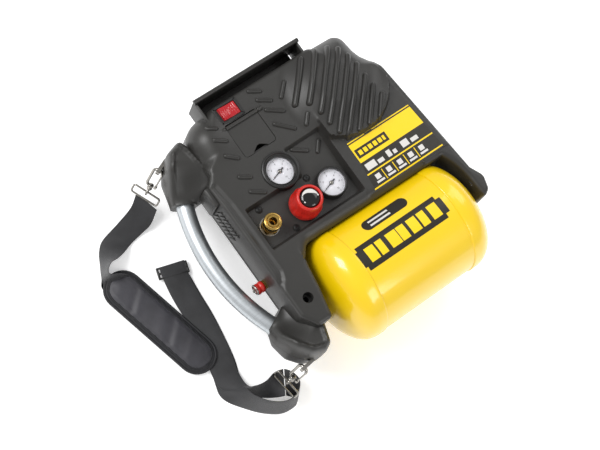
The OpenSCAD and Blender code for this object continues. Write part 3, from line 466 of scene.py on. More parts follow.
# %% The sheet
def sheet_over(name, outline, rims, steps, height, grid, skirt, material, holes=()):
    """A height-map surface inside outline. rims are ring insets, steps are closed lines kept as
    edges, skirt is (depth, widening) pairs for the side wall under the rim."""
    loops = [outline] + [inset(outline, d) for d in rims]
    loops = [l[distance(l, outline) > 0.7 * d - 0.001] if d else l
             for l, d in zip(loops, [0] + list(rims))]
    flat = [tuple(p) for l in loops for p in l]
    edges = [(i, (i + 1) % len(outline)) for i in range(len(outline))]
    for line in steps:
        first = len(flat)
        line = [tuple(p) for p in line if distance([p], outline)[0] > 0.3]
        flat += line
        edges += [(first + i, first + (i + 1) % len(line)) for i in range(len(line))]
    low, high = outline.min(0), outline.max(0)
    xs = np.arange(low[0], high[0], grid)
    ys = np.arange(low[1], high[1], grid * 0.87)
    mesh_x, mesh_y = np.meshgrid(xs, ys)
    mesh_x = mesh_x + (np.arange(len(ys)) % 2)[:, None] * grid / 2
    free = np.stack([mesh_x.ravel(), mesh_y.ravel()], 1)
    free = free[distance(free, outline) > max(list(rims) + [0]) + 0.5 * grid]
    for line in steps:
        free = free[np.abs(distance(free, line)) > 0.45 * grid]
    flat += [tuple(p) for p in free]
    made = geometry.delaunay_2d_cdt([Vector(p) for p in flat], edges, [], 0, 1e-4)
    points = np.array([tuple(p) for p in made[0]])
    triangles = np.array([f for f in made[2] if len(f) == 3])
    middle = points[triangles].mean(axis=1)
    keep = distance(middle, outline) > 0.02
    for hole in holes:
        keep &= distance(middle, hole) < 0
    triangles = triangles[keep]
    z = height(points)
    solid = [(x, y, h) for (x, y), h in zip(points, z)]
    faces = [tuple(int(i) for i in t) for t in triangles]
    rim_z = height(outline)
    first = len(solid)
    top_ring = [(x, y, h) for (x, y), h in zip(outline, rim_z)]
    solid += top_ring
    count = len(outline)
    for depth, wider in skirt:
        ring = inset(outline, -wider)
        solid += [(x, y, depth(h) if callable(depth) else depth)
                  for (x, y), h in zip(ring, rim_z)]
    for k in range(len(skirt)):
        a, b = first + k * count, first + (k + 1) * count
        faces += [(a + i, a + (i + 1) % count, b + (i + 1) % count, b + i) for i in range(count)]
    return piece(name, solid, faces, material, ROOT, 38)


# %% [markdown]
# ## The front shell
# Its face is flat, with a raised area at the far side, a sunk control panel, two rounded
# shoulders and a pocket under the storage door. A shallow groove runs beside the handle.

# %% The front shell's lines
def tank_side(gap, low_y, high_y):
    """The line that runs round the tank's far end at a given gap, between two heights."""
    line = []
    for i in range(40):
        a = math.radians(90 * i / 39)
        x = 108 + (44 + gap) * math.sin(a) ** (2 / 2.3)
        y = -111 + (84 + gap) * math.cos(a) ** (2 / 2.3)
        if high_y - 2 > y > low_y:
            line.append((x, y, 0))
    return line


def house_outline(low_y):
    """The housing's outline, with its edge beside the tank at low_y."""
    return rounded(
        [(-150, -141, 8), (-127, -141, 6), (-118, -100, 30), (-112, -60, 30),
         (-95, low_y, 14)] + tank_side(3.5, -110, low_y) + [(157, -126, 4), (170, -118, 9),
         (176, -98, 14), (166, -78, 8), (148, 124, 6), (134, 142, 8), (131, 152, 8),
         (130, 188, 46), (-152, 186, 46), (-152, 110, 6), (-164, 96, 6), (-164, -118, 12)])


# The face overhangs the tank's curve, so in front its edge lies 9 mm lower than behind.
split_z = 88
house_line = house_outline(-39)
back_line = house_outline(-30)
panel_line = rounded([(-142, -23.5, 2), (17, -23.5, 2), (17, 86, 2), (-46, 86, 3), (-46, 44, 2),
                      (-142, 44, 2)])
plateau_line = rounded([(17, -34, 3), (158, -34, 3), (140, 120, 20), (118, 150, 20),
                        (60, 166, 20), (17, 131, 2)])
pocket_line = rounded([(-97.2, 101.5, 5), (-45.2, 101.5, 5), (-45.2, 154.3, 3),
                       (-97.2, 154.3, 3)])
pocket_line = inset(pocket_line, -0.5)


def circle(at, r, steps=48):
    """A closed round line."""
    return np.array([(at[0] + r * math.cos(2 * math.pi * i / steps),
                      at[1] + r * math.sin(2 * math.pi * i / steps)) for i in range(steps)])


tank_gauge_at, outlet_gauge_at = (-67, 63), (-15.5, 11)
knob_at, coupler_at = (-65, 6, 0), (-123, 8, 0)
ear_at = (-141, -101.5)
ear_sink, ear_bore = circle(ear_at, 7.5), circle(ear_at, 4.3, 32)
gauge_well, gauge_seat = circle(tank_gauge_at, 22.0), circle(outlet_gauge_at, 21.6)
groove = np.array([(-158, 92), (-154, 60), (-152.5, 0), (-152.5, -52), (-156, -62),
                   (-168, -74), (-178, -80)])
print("outline of", len(house_line), "points")


# %% The front shell's height
def shell_height(p):
    """Height of the front shell's face over a point, in millimetres."""
    p = np.asarray(p, float)
    x, y = p[:, 0], p[:, 1]
    z = np.full(len(p), 150.0)
    z -= 13 * ease((-y - 40) / 50) * (x > 112)
    z -= 5 * ease((-y - 108) / 30) * (x < -100)
    rise = 11 * ease((134 - y) / 60)
    z += rise * ease((distance(p, plateau_line) + 1.2) / 2.4)
    shoulder = 18 * ease(1.5 - np.hypot(x - 70, y - 122) / 54)
    blend = np.clip(0.6 * shoulder, 0.02, 2.5)
    lift = np.clip((z - 150 - shoulder) / blend, -60, 60)
    z = 150 + shoulder + blend * np.log1p(np.exp(lift))
    z += 5 * np.exp(-((x + 122) ** 2 + (y - 150) ** 2) / (2 * 20 ** 2))
    z -= 3.0 * np.exp(-(distance(p, groove, closed=False) / 3.4) ** 2)
    soft = 6 + 26 * ease((-92 - x) / 24) * ease((y - 112) / 18)
    soft += 20 * ease((x - 66) / 16) * ease((y - 108) / 22)
    soft += 9 * ease((-24 - y) / 6) * (x > -112) * (x < 112)
    edge = np.clip(distance(p, house_line), 0, soft)
    z -= 0.9 * (soft - np.sqrt(np.maximum(soft ** 2 - (soft - edge) ** 2, 0)))
    sunk = ease((distance(p, panel_line) - 0.1) / 4.6)
    floor_z = 138 + 5 * ease((y - 14) / 74)
    z = z * (1 - sunk) + np.minimum(z, floor_z) * sunk
    pocket = np.clip((distance(p, pocket_line)) / 0.5, 0, 1)
    deep = np.where(y > 147.2, 146.9, 125.0)
    z = z * (1 - pocket) + deep * pocket
    sink = np.clip(distance(p, ear_sink) / 0.4, 0, 1)
    return z * (1 - sink) + np.minimum(z, 134.0) * sink


# %% The front shell
front_shell = sheet_over(
    "front_shell_moulding", house_line, [0.35, 1.0, 2.0, 3.4],
    [panel_line, inset(panel_line, 4.7), inset(plateau_line, 1.2), inset(plateau_line, -1.2),
     pocket_line, inset(pocket_line, 0.5), ear_sink, inset(ear_sink, 0.4), ear_bore, gauge_well,
     gauge_seat],
    shell_height, 2.2, [(lambda h: min(h, 124.0), 0.2), (89.6, 0.8), (88.6, 0.3)],
    housing_plastic, holes=[ear_bore, gauge_well, gauge_seat])
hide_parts("front_shell")
print("front shell triangles:", len(front_shell.data.polygons))

# %% [markdown]
# ## The rear shell
# The rear shell mirrors the outline below the parting line. On the handle side it tapers in
# towards the floor, so a hand fits round the tube.

# %% The rear shell
def back_height(p):
    """Height of the rear shell's underside over a point."""
    p = np.asarray(p, float)
    edge = np.clip(distance(p, back_line), 0, 7)
    z = 7 - np.sqrt(np.maximum(49 - (7 - edge) ** 2, 0))
    return np.maximum(z, 80.0 * np.clip((-132 - p[:, 0]) / 32, 0, 1))


# The rear shell's darker plastic is painted shade.
rear_shell = sheet_over("rear_shell_moulding", back_line, [0.35, 1.0, 2.2, 4.0],
                        [ear_bore], back_height, 4.0, [(86.6, 0.8), (87.6, 0.3)], rear_plastic_painted_shade,
                        holes=[ear_bore])
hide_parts("rear_shell")
lathe("ear_tunnel", [(7.4, 134), (4.3, 133.8), (4.3, 20)], (ear_at[0], ear_at[1], 0), (0, 0, 1),
      housing_plastic, sharp=60)

# %% [markdown]
# ## Handle horns
# Two hollow horns grip the ends of the tube. Near its mouth each has the tube's round section,
# and it swells towards the housing. Its height is a quarter ellipse over the distance from the
# rim, leaving out the mouth, which is cut square across. The broad end is dished inside a raised
# rim.

# %% The horns
def horn(name, corners, mouth, swell, material):
    """One horn, symmetric about the parting plane. mouth is the two ends of its cut."""
    line = rounded(corners)
    ends = [int(np.argmin(np.hypot(*(line - np.array(m)).T))) for m in mouth]
    i, j = sorted(ends)
    a, b = line[i:j + 1], np.concatenate([line[j:], line[:i + 1]])
    rim = a if len(a) > len(b) else b
    middle = (np.array(mouth[0]) + np.array(mouth[1])) / 2

    def rise(p):
        p = np.asarray(p, float)
        far = ease((np.hypot(p[:, 0] - middle[0], p[:, 1] - middle[1]) - 4) / 52)
        reach = 18 - 5 * far
        top = 18.5 + swell * far
        power = 2 + 1.4 * far
        inside = distance(p, rim, closed=False)
        t = np.clip(inside / reach, 0, 1)
        dish = 4.0 * far * ease((inside - 8) / 5)
        return top * np.maximum(1 - (1 - t) ** power, 0) ** (1 / power) - dish

    rims, joint = [0.3, 0.9, 1.8, 3.2, 5.0], 0.3
    front, rear = split_z + joint, split_z - joint
    sheet_over(name, line, rims, [], lambda p: front + rise(p), 2.5, [(front, 0)], material)
    sheet_over(name + "_rear", line, rims, [], lambda p: rear - rise(p), 2.5, [(rear, 0)],
               rear_plastic_painted_shade)


horn("flange_end_horn",
     [(-208, 110, 2), (-176, 93, 2), (-150, 96, 8), (-140, 122, 10), (-146, 160, 10),
      (-153, 179, 8), (-178, 171, 12), (-192, 151, 16), (-202, 127, 20)],
     [(-208, 110), (-176, 93)], 30, housing_plastic)
horn("tank_end_horn",
     [(-160, -86, 2), (-196, -104, 2), (-199, -122, 12), (-190, -148, 20), (-175, -167, 14),
      (-155, -174.5, 10), (-142, -168, 10), (-134, -143, 12), (-134, -112, 12), (-146, -82, 8)],
     [(-196, -104), (-160, -86)], 30, housing_plastic)

# %% [markdown]
# ## Handle tube
# The tube is an arc of drawn aluminium that runs into both horns.

# %% The handle tube
bend_r, tube_r, half_angle = 267, 12.5, 27.5
arc = [math.radians(180 - half_angle + 2 * half_angle * i / 72) for i in range(73)]
tube_path = [(59 + bend_r * math.cos(a), 4 + bend_r * math.sin(a), split_z) for a in arc]
handle = sweep("brushed_handle", tube_path, disc(tube_r, 40), tube_metal, turn=(0, 0, 1))
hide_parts("handle_tube")

# %% [markdown]
# ## Moulded ribs
# Pill-shaped ribs stiffen the face and give the hand grip. Each is a nest of rings round a short
# line, laid on the shell's own height, so it follows the shoulder's curve.

# %% Ribs
def rib_mesh(a, b, width, rise):
    """Points and faces of one rib from a to b, draped over the shell."""
    a, b = np.array(a, float), np.array(b, float)
    along = (b - a) / np.linalg.norm(b - a)
    across = np.array([-along[1], along[0]])
    shares = (1.0, 0.86, 0.62, 0.34, 0.04)
    points = []
    for share in shares:
        r = share * width / 2
        half = [(math.cos(t), math.sin(t)) for t in np.linspace(-math.pi / 2, math.pi / 2, 7)]
        side = [b + r * (c * along + n * across) for c, n in half]
        side += [b + (a - b) * k / 14 + r * across for k in range(1, 14)]
        side += [a - r * (c * along + n * across) for c, n in half]
        side += [a + (b - a) * k / 14 - r * across for k in range(1, 14)]
        z = shell_height(np.array(side)) + rise * math.sqrt(1 - share ** 2) - 0.25
        points += [(p[0], p[1], h) for p, h in zip(side, z)]
    return points, ring_faces(len(shares), len(side))


short_ribs = [((-121, 145), (-107, 136)), ((-120, 119), (-107, 108)), ((-121, 85), (-108, 77)),
              ((-120, 60), (-104, 49)), ((-35, 162), (-19, 152)), ((-33, 144), (-13, 130)),
              ((-35, 121), (-15, 101)), ((-34, 79), (-16, 67)), ((-119, 165), (-109, 158)),
              ((-38, 179), (-24, 171)), ((2, 97), (11, 108)), ((-4, 58), (6, 70)),
              ((-4, 148), (12, 164))]
long_ribs = [((4, 128), (50, 178)), ((20, 118), (76, 179)), ((26, 99), (93, 172)),
             ((28, 80), (104, 162)), ((32, 62), (109, 146)), ((40, 50), (111, 128)),
             ((58, 49), (112, 108)), ((76, 49), (114, 91)), ((95, 49), (117, 74))]
points, faces = [], []
for group, width, rise in ((short_ribs, 6.6, 3.2), (long_ribs, 8.6, 5.0)):
    for a, b in group:
        new_points, new_faces = rib_mesh(a, b, width, rise)
        faces += [tuple(i + len(points) for i in f) for f in new_faces]
        points += new_points
grip_ribs = piece("grip_ribs", points, faces, housing_plastic, sharp=80)
print("ribs:", len(short_ribs) + len(long_ribs))

# %% [markdown]
# ## Air vent and screw block beside the handle
# Cooling air enters through slanted slots in the side wall, next to a block with two deep screw
# pockets. Black pieces laid on the wall stand for the dark insides of both, as painted shade.

# %% Vent
slots = []
for row in range(2):
    for k in range(7):
        at = (-164.4, 22 + 6.4 * k + 3 * row, 122 - 21 * row)
        # Each slot is a black block on the wall: painted shade for the opening.
        slots.append(block("vent_slot_painted_shade", (at[0] - 0.6, at[1] - 1.4, at[2] - 7.5),
                           (at[0] + 1.0, at[1] + 1.4, at[2] + 7.5), 0.4, black_plastic,
                           turn=Matrix.Rotation(math.radians(22), 3, "X")))
        slots.append(block("vent_louvre", (at[0] - 1.6, at[1] + 1.6, at[2] - 8.5),
                           (at[0] + 1.0, at[1] + 3.4, at[2] + 8.5), 0.6, housing_plastic,
                           turn=Matrix.Rotation(math.radians(22), 3, "X")))
block("vent_screw_block", (-171, 69, 96), (-160, 98, 143), 3.0, housing_plastic)
# Each screw pocket is a black disc on the block: painted shade for its depth.
for y in (75.5, 91.5):
    lathe("vent_screw_pocket_painted_shade", [(4.2, 0.15), (3.6, 0.2), (3.4, -0.3)], (-171, y, 134),
          (-1, 0, 0), black_plastic, steps=24)
print("vent slots:", len(slots) // 2)

# %% [markdown]
# ## Tank
# The barrel is rolled sheet and the ends are pressed domes whose skirts lap over it, which
# leaves a soft ridge at each seam. A lathe profile along the axis gives all of it.

# %% Tank barrel and ends
def dome(r, h, steps=40):
    """(radius, height) pairs of a pressed end, from its rim to its middle."""
    return [(r * math.cos(math.radians(90 * i / steps)) ** (2 / 2.3),
             h * math.sin(math.radians(90 * i / steps)) ** (2 / 2.3)) for i in range(steps + 1)]


tank_at, tank_r, half_barrel, dome_h = (21, -111, 88), 82.5, 87, 44
barrel = lathe("tank_barrel_sheet",
               [(tank_r, x) for x in np.linspace(-half_barrel, half_barrel, 30)],
               tank_at, (1, 0, 0), enamel, steps=128)
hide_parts("tank_barrel")
ends = []
for side in (-1, 1):
    seam = [(82.4, -8.4), (83.2, -8.2), (83.9, -7.4), (84.1, -6.2), (84, -3)]
    foot = (tank_at[0] + side * half_barrel, tank_at[1], tank_at[2])
    ends.append(lathe("tank_end", seam + dome(84, dome_h), foot, (side, 0, 0), enamel,
                      steps=128, sharp=60))
tank_ends = join("tank_ends_pressed", ends)
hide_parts("tank_ends")


# %% [markdown]
# ## Labels
# Printed films follow the surface under them, so each is a fine grid laid a fraction of a
# millimetre above it. The lettering of the real labels is left out: plain bars stand for it.

# %% Films on the tank and on the shell
def film(name, corners, place, material, cells=(24, 10), lift=0.15):
    """A film over four corners in the surface's own two coordinates."""
    a, b, c, d = (np.array(k, float) for k in corners)
    n, m = cells
    grid = [(a * (1 - u) + b * u) * (1 - v) + (d * (1 - u) + c * u) * v
            for v in np.linspace(0, 1, m + 1) for u in np.linspace(0, 1, n + 1)]
    faces = [(j * (n + 1) + i, j * (n + 1) + i + 1, (j + 1) * (n + 1) + i + 1,
              (j + 1) * (n + 1) + i) for j in range(m) for i in range(n)]
    return piece(name, place(np.array(grid), lift), faces, material, sharp=80)


def on_tank(p, lift):
    """x along the barrel, and degrees round it from the housing side, to a point in space."""
    a = np.radians(p[:, 1])
    r = tank_r + lift
    return np.stack([p[:, 0], tank_at[1] + r * np.cos(a), tank_at[2] + r * np.sin(a)], 1)


def on_shell(p, lift):
    """A point of the face plan to a point on the face."""
    return np.stack([p[:, 0], p[:, 1], shell_height(p) + lift], 1)


def box_of(x0, x1, y0, y1):
    """The corners of a rectangle."""
    return [(x0, y0), (x1, y0), (x1, y1), (x0, y1)]


badge = [film("tank_badge", box_of(-54, 84, 71, 97), on_tank, label_black, (20, 24)),
         film("tank_badge", box_of(-61, -54, 75.5, 92.5), on_tank, label_black, (2, 16)),
         film("tank_badge", box_of(84, 91, 75.5, 92.5), on_tank, label_black, (2, 16))]
for k, wide in enumerate((15, 11, 17, 13, 15, 12, 15)):
    x = -45 + 18.3 * k
    badge.append(film("tank_badge_block", box_of(x, x + wide, 76.5, 91.5), on_tank, label_yellow,
                      (4, 14), 0.3))
join("tank_badge", badge)
pill = []
for k in range(24):
    t0, t1 = -math.pi / 2 + math.pi * k / 24, -math.pi / 2 + math.pi * (k + 1) / 24
    x0, x1 = -14, 44
    for c, s in ((x0, -1), (x1, 1)):
        pill.append(film("tank_pill", [(c, 57.5 + 6.5 * math.sin(t0)),
                                       (c + s * 9 * math.cos(t0), 57.5 + 6.5 * math.sin(t0)),
                                       (c + s * 9 * math.cos(t1), 57.5 + 6.5 * math.sin(t1)),
                                       (c, 57.5 + 6.5 * math.sin(t1))], on_tank, label_black,
                         (4, 1)))
pill.append(film("tank_pill", box_of(-14, 44, 51, 64), on_tank, label_black, (16, 10)))
pill += [film("tank_pill_bar", box_of(-12, 22, y, y + 2.2), on_tank, label_white, (10, 2), 0.3)
         for y in (54.2, 59.0)]
join("tank_pill_badge", pill)
print("tank labels placed")

# %% The band label on the raised area
# Each band is given by its two ends, from the label's foot to its head.
def band(y0, y1, material, x0=None, x1=None, lift=0.12):
    """A strip of the label between two heights, with slanted ends unless x0 and x1 are set."""
    left = [33.5 if y > 8 else 33.5 - (8 - y) * 0.14 for y in (y0, y1)]
    right_end = [150.5 - (y + 33) * 0.088 for y in (y0, y1)]
    if x0 is not None:
        left, right_end = [x0, x0], [x1, x1]
    return film("plateau_label", [(left[0], y0), (right_end[0], y0), (right_end[1], y1),
                                  (left[1], y1)], on_shell, material, (40, 6), lift)


bands = [band(41.6, 43.2, label_yellow), band(39.6, 41.6, label_black),
         band(10, 39.6, label_yellow), band(-8, 10, label_black), band(-10, -8, label_yellow),
         band(-30, -10, label_black), band(-32, -30, label_yellow)]
bands.append(band(16, 30, label_black, 36, 90, 0.24))
for k, (x, wide) in enumerate(((40, 6), (48.5, 6), (57, 6), (65.5, 6), (74, 6), (82, 4))):
    bands.append(band(19.5, 26.5, label_yellow, x, x + wide, 0.34))
for x, wide in ((36, 17), (56, 10), (73, 7), (83, 6), (99, 12), (115, 12)):
    bands.append(band(-4.5, 5.5 if wide not in (10, 6, 12) or x == 99 else 1.5, label_white, x,
                      x + wide, 0.24))
for k in range(5):
    x = 37 + 19.5 * k
    bands += [band(-26.5, -23.5, label_white, x, x + 13, 0.24),
              band(-21.5, -14, label_white, x + 2.5, x + 10.5, 0.24)]
    if k < 4:
        bands.append(band(-28, -12, label_yellow, x + 15.6, x + 16.9, 0.24))
join("plateau_label", bands)
print("label films joined")

# %% [markdown]
# ## Gauges
# Each gauge is a black case with a rolled rim, a white card with marks over 270 degrees, a
# needle that rides on its own body, and a clear lens.

# %% Gauge faces
dial_zero, dial_sweep = 198, 270


def gauge(name, at, rim, node, moving):
    """The visual parts of one gauge."""
    x, y = at
    case = lathe(name + "_case", rim, (x, y, 0), (0, 0, 1), black_plastic, steps=72)
    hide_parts(node + "_case")
    card = lathe(name + "_card", [(0, 142.9), (12, 142.9), (19.4, 143.0), (19.5, 138)],
                 (x, y, 0), (0, 0, 1), dial_card, steps=64)
    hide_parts(node + "_dial")
    marks = []
    for k in range(41):
        a = math.radians(dial_zero - dial_sweep * k / 40)
        deep = 3.2 if k % 8 == 0 else 1.9 if k % 4 == 0 else 1.1
        turn = Matrix.Rotation(a, 3, "Z")
        marks.append(block("mark", (17.6 - deep, -0.13 - 0.1 * (k % 8 == 0), 143.0),
                           (17.6, 0.13 + 0.1 * (k % 8 == 0), 143.12), 0, ink, turn=turn,
                           about=(0, 0, 143)))
        marks[-1].data.transform(Matrix.Translation((x * MM, y * MM, 0)))
    for k, word in enumerate(("0", "2", "4", "6", "8", "10")):
        a = math.radians(dial_zero - dial_sweep * k / 5)
        data = bpy.data.curves.new("figure", "FONT")
        data.body, data.size, data.align_x, data.align_y = word, 3.6 * MM, "CENTER", "CENTER"
        data.extrude = 0.05 * MM
        letter = bpy.data.objects.new("figure", data)
        scene.collection.objects.link(letter)
        letter.matrix_world = Matrix.Translation(((x + 11.6 * math.cos(a)) * MM,
                                                  (y + 11.6 * math.sin(a)) * MM, 143.05 * MM)
                                                 ) @ Matrix.Rotation(math.radians(-27), 4, "Z")
        bpy.context.view_layer.update()
        mesh = bpy.data.meshes.new_from_object(letter)
        mesh.transform(letter.matrix_world)
        bpy.data.objects.remove(letter)
        figure = bpy.data.objects.new("figure", mesh)
        scene.collection.objects.link(figure)
        mesh.materials.clear()
        mesh.materials.append(ink)
        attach(figure, ROOT)
        marks.append(figure)
    join(name + "_marks", marks)
    lathe(name + "_hub", [(0, 145.3), (1.6, 145.2), (2.3, 144.8), (2.4, 144.4)], (x, y, 0),
          (0, 0, 1), nickel, moving, steps=32)
    lens = lathe(name + "_lens", [(0, 149.0), (12, 148.8), (19, 148.2), (19.3, 147.6)],
                 (x, y, 0), (0, 0, 1), lens_clear, steps=48)
    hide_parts(node + "_lens")


tank_rim = [(27.5, 139), (27.3, 149.5), (26.4, 151.5), (24.6, 152.2), (23.4, 151.2),
            (22.6, 149.6), (21.6, 149.4), (20.8, 150.2), (20.1, 149.8), (19.5, 148.6),
            (19.4, 142.6)]
outlet_rim = [(22.6, 138.1), (22.4, 145), (22.0, 149.4), (21.2, 150.4), (20.2, 150.2),
              (19.6, 149), (19.4, 142.6)]
gauge("tank_gauge", tank_gauge_at, tank_rim, "tank_gauge", "tank_needle")
gauge("outlet_gauge", outlet_gauge_at, outlet_rim, "outlet_gauge", "outlet_needle")
print("gauges placed")

# %% [markdown]
# ## Regulator knob
# The knob is moulded in red with a lobed grip below a tapered neck, and a polished black cap
# sits in it. A white crescent on the cap shows which way to turn.

# %% Regulator knob
def grip(r, h, a):
    """Radius of the knob with ten shallow grip hollows that fade out towards the top."""
    fade = float(ease((166 - h) / 12)) * float(ease((h - 143) / 3))
    return r - 1.3 * fade * (0.5 + 0.5 * math.cos(10 * a)) ** 2


knob = lathe("regulator_knob_moulding",
             [(12, 142.2), (21.5, 142.2), (22.8, 142.9), (23, 144.5), (23, 151), (22.6, 153),
              (21.6, 155.5), (20.4, 160), (19.6, 166), (19.0, 172), (18.5, 174.6),
              (17.5, 176.0), (16.1, 176.4), (14.9, 175.8), (14.4, 174.2), (14.3, 169)],
             knob_at, (0, 0, 1), red_plastic, "regulator_knob", 120, 50, grip)
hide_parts("regulator_knob")
cap = lathe("regulator_cap_polished", [(14.2, 169), (14.1, 174.0), (13.4, 175.4), (11.5, 176.9),
                                       (8, 178.0), (4, 178.3), (0, 178.3)],
            knob_at, (0, 0, 1), gloss_black, "regulator_knob", 64, 60)
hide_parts("knob_cap")


def cap_z(r):
    """Height of the cap's dome at a radius."""
    return float(np.interp(r, [0, 4, 8, 11.5, 13.4], [178.3, 178.3, 178.0, 176.9, 175.4])) + 0.1


points = []
for k in range(25):
    a = math.radians(-8 + 150 * k / 24)
    wide = 7.4 * math.sin(math.pi * (k + 0.6) / 25.4) ** 0.8 * (0.55 + 0.45 * (1 - k / 24)) + 0.1
    for j in range(4):
        r = 11.6 - wide * j / 3
        points.append((knob_at[0] + r * math.cos(a), knob_at[1] + r * math.sin(a), cap_z(r)))
faces = [(4 * k + j, 4 * k + j + 1, 4 * k + j + 5, 4 * k + j + 4) for k in range(24)
         for j in range(3)]
piece("cap_crescent", points, faces, label_white, "regulator_knob", 80)
for x, y in ((-54.2, 3.2), (-75.5, 4.0)):
    lathe("cap_dot", [(0, 0.12), (1.2, 0.1), (1.3, -0.3)], (x, y, cap_z(10.6) - 0.1), (0, 0, 1),
          label_white, "regulator_knob", 20)
nut = lathe("regulator_ring_nut", [(15, 138.1), (17.7, 138.1), (18, 138.6), (18, 140.6),
                                   (17.5, 141.1), (12, 141.1)], knob_at, (0, 0, 1),
            pale_plastic, sharp=45)
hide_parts("regulator_nut")
print("regulator done")

# %% [markdown]
# ## Quick coupler
# The coupler is turned brass: a hexagon, a grooved body and a sliding sleeve whose grip is cut
# with fine ridges. The hole stays open, and a black disc far down is painted shade at its bottom.

# %% Quick coupler
def knurl(r, h, a):
    """Fine ridges round the sleeve between its plain ends."""
    return r + (0.22 * math.cos(40 * a) if 153 < h < 161 else 0)


lathe("coupler_washer", [(11, 138.1), (14.2, 138.1), (14.4, 138.5), (14.0, 138.9), (11, 139.2)],
      coupler_at, (0, 0, 1), nickel)
body = lathe("coupler_turned_body",
             [(13.2, 139.2), (13.2, 145.0), (12.3, 146.1), (10.2, 146.3), (9.6, 147.4),
              (8.5, 148), (8.5, 164.2), (8.1, 165.1), (6.1, 165.1), (5.5, 164.5), (5.25, 163),
              (5.25, 152), (4.0, 151), (4.0, 146), (0, 146)],
             coupler_at, (0, 0, 1), brass, steps=72,
             radius=lambda r, h, a: r if h > 146.2 or r < 12 else min(
                 r, 12.0 / math.cos((a + math.pi / 6) % (math.pi / 3) - math.pi / 6)))
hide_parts("coupler_body")
sleeve = lathe("coupler_sleeve_knurled",
               [(8.7, 151.2), (11.6, 151.2), (12.3, 151.9), (12.4, 153), (12.1, 153.4),
                (12.1, 160.8), (12.4, 161.2), (12.4, 162.6), (11.8, 163.6), (10.6, 164),
                (9.6, 164), (8.7, 163.4)], coupler_at, (0, 0, 1), brass, "coupler_sleeve",
               160, 50, knurl)
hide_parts("coupler_sleeve")
# A black disc at the bottom of the bore: painted shade.
lathe("coupler_bore_painted_shade", [(3.9, 146.2), (2.6, 146.6), (0, 146.6)], coupler_at, (0, 0, 1),
      black_plastic, steps=32)

# %% Panel screws
# Countersunk cross-head screws stand in small round bosses.
for k, (x, y) in enumerate(((-122, 35), (-93, -13.5), (-39.5, 36))):
    base = float(shell_height(np.array([(x, y)]))[0])
    lathe(f"panel_screw_boss_{k}", [(5.4, base - 0.5), (5.2, base + 0.7), (4.6, base + 1.1),
                                    (4.2, base + 0.5)], (x, y, 0), (0, 0, 1), housing_plastic,
          steps=32, sharp=70)
    head = lathe(f"panel_screw_head_{k}", [(3.9, base + 0.2), (3.7, base + 0.9),
                                           (2.4, base + 1.5), (1.5, base + 1.55),
                                           (1.3, base + 0.6), (0, base + 0.5)], (x, y, 0),
                 (0, 0, 1), dark_steel, steps=32,
                 radius=lambda r, h, a: r if r > 2 else r * (0.55 + 0.45 * abs(
                     math.cos(2 * a)) ** 3))
    if k == 0:
        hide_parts("panel_screws")

# %% [markdown]
# ## Switch and storage door
# The rocker is clear red plastic with cross ridges for the finger. The door is a thin plate with
# rounded corners, a half-moon finger notch at its free edge and a barrel hinge.

# %% Rocker switch
frame_plan = rounded([(-98.5, 156, 1.5), (-60.5, 156, 1.5), (-60.5, 184, 1.5), (-98.5, 184, 1.5)])
frame_steps = [(0, 149.6), (0, 151.6), (0.7, 152.2), (3.4, 152.2), (3.9, 151.6), (3.9, 133)]
points = nested(frame_plan, frame_steps)
n = len(frame_plan)
faces = ring_faces(len(frame_steps), n)
faces.append(tuple(range((len(frame_steps) - 1) * n, len(frame_steps) * n)))
switch_frame = piece("switch_frame_moulding", points, faces, black_plastic, sharp=40)
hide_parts("switch_housing")
profile = []
for k in range(61):
    x = -13.5 + 27 * k / 60
    ridge = 0.45 * max(0.0, math.cos(2 * math.pi * x / 3.6)) if abs(x) > 2 else 0
    profile.append((x, 4.9 + 1.9 * (abs(x) / 13.5) ** 1.4 + ridge))
profile += [(13.6, 1.5), (5, -4), (-5, -4), (-13.6, 1.5)]
tilt = Matrix.Rotation(math.radians(9), 3, "Y")
points = [Vector((-79.5, 170, 147)) + tilt @ Vector((x, y, z))
          for y in (-9.4, -8.9, 8.9, 9.4) for x, z in
          [(x * (1 - 0.03 * (abs(y) > 9)), z - 0.5 * (abs(y) > 9) * (z > 2)) for x, z in profile]]
n = len(profile)
faces = ring_faces(4, n) + [tuple(range(n)), tuple(range(3 * n, 4 * n))[::-1]]
rocker = piece("rocker_paddle", points, faces, red_clear, "rocker", 45)
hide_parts("switch_rocker")

# %% Storage door
door_plan = rounded([(-97.2, 101.5, 4.5), (-83.5, 101.5, 2), (-82, 103.6, 3), (-71.5, 110.5, 6),
                     (-61, 103.6, 3), (-59.5, 101.5, 2), (-45.2, 101.5, 4.5),
                     (-45.2, 148.6, 1), (-97.2, 148.6, 1)], 1.2)
levels = [(0.9, 147.6), (0, 148.0), (0, 149.5), (0.45, 150.0)]
points = nested(door_plan, levels)
n = len(door_plan)
faces = ring_faces(4, n) + [tuple(range(n)), tuple(range(3 * n, 4 * n))[::-1]]
door_plate = piece("door_plate", points, faces, housing_plastic, "door", 40)
hinge = lathe("door_hinge_barrel", [(2.4, -26), (2.9, -25.6), (2.9, 25.6), (2.4, 26)],
              (-71.2, 150.5, 151), (1, 0, 0), housing_plastic, "door", 40)
door_panel = join("door_panel", [door_plate, hinge])
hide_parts("door")
for side in (-1, 1):
    lathe(f"hinge_ear_{side + 1}", [(0, -4), (2.7, -3.8), (3.1, -3.2), (3.1, 3.2), (2.7, 3.8),
                                    (0, 4)], (-71.2 + side * 31, 150.5, 150.8), (1, 0, 0),
          housing_plastic, steps=32)
print("switch and door done")

# %% [markdown]
# ## Cord-wrap flange
# A thin moulded plate stands off the flange end, with a web below, so the mains lead winds
# between. Its outer edge has a rounded bead.

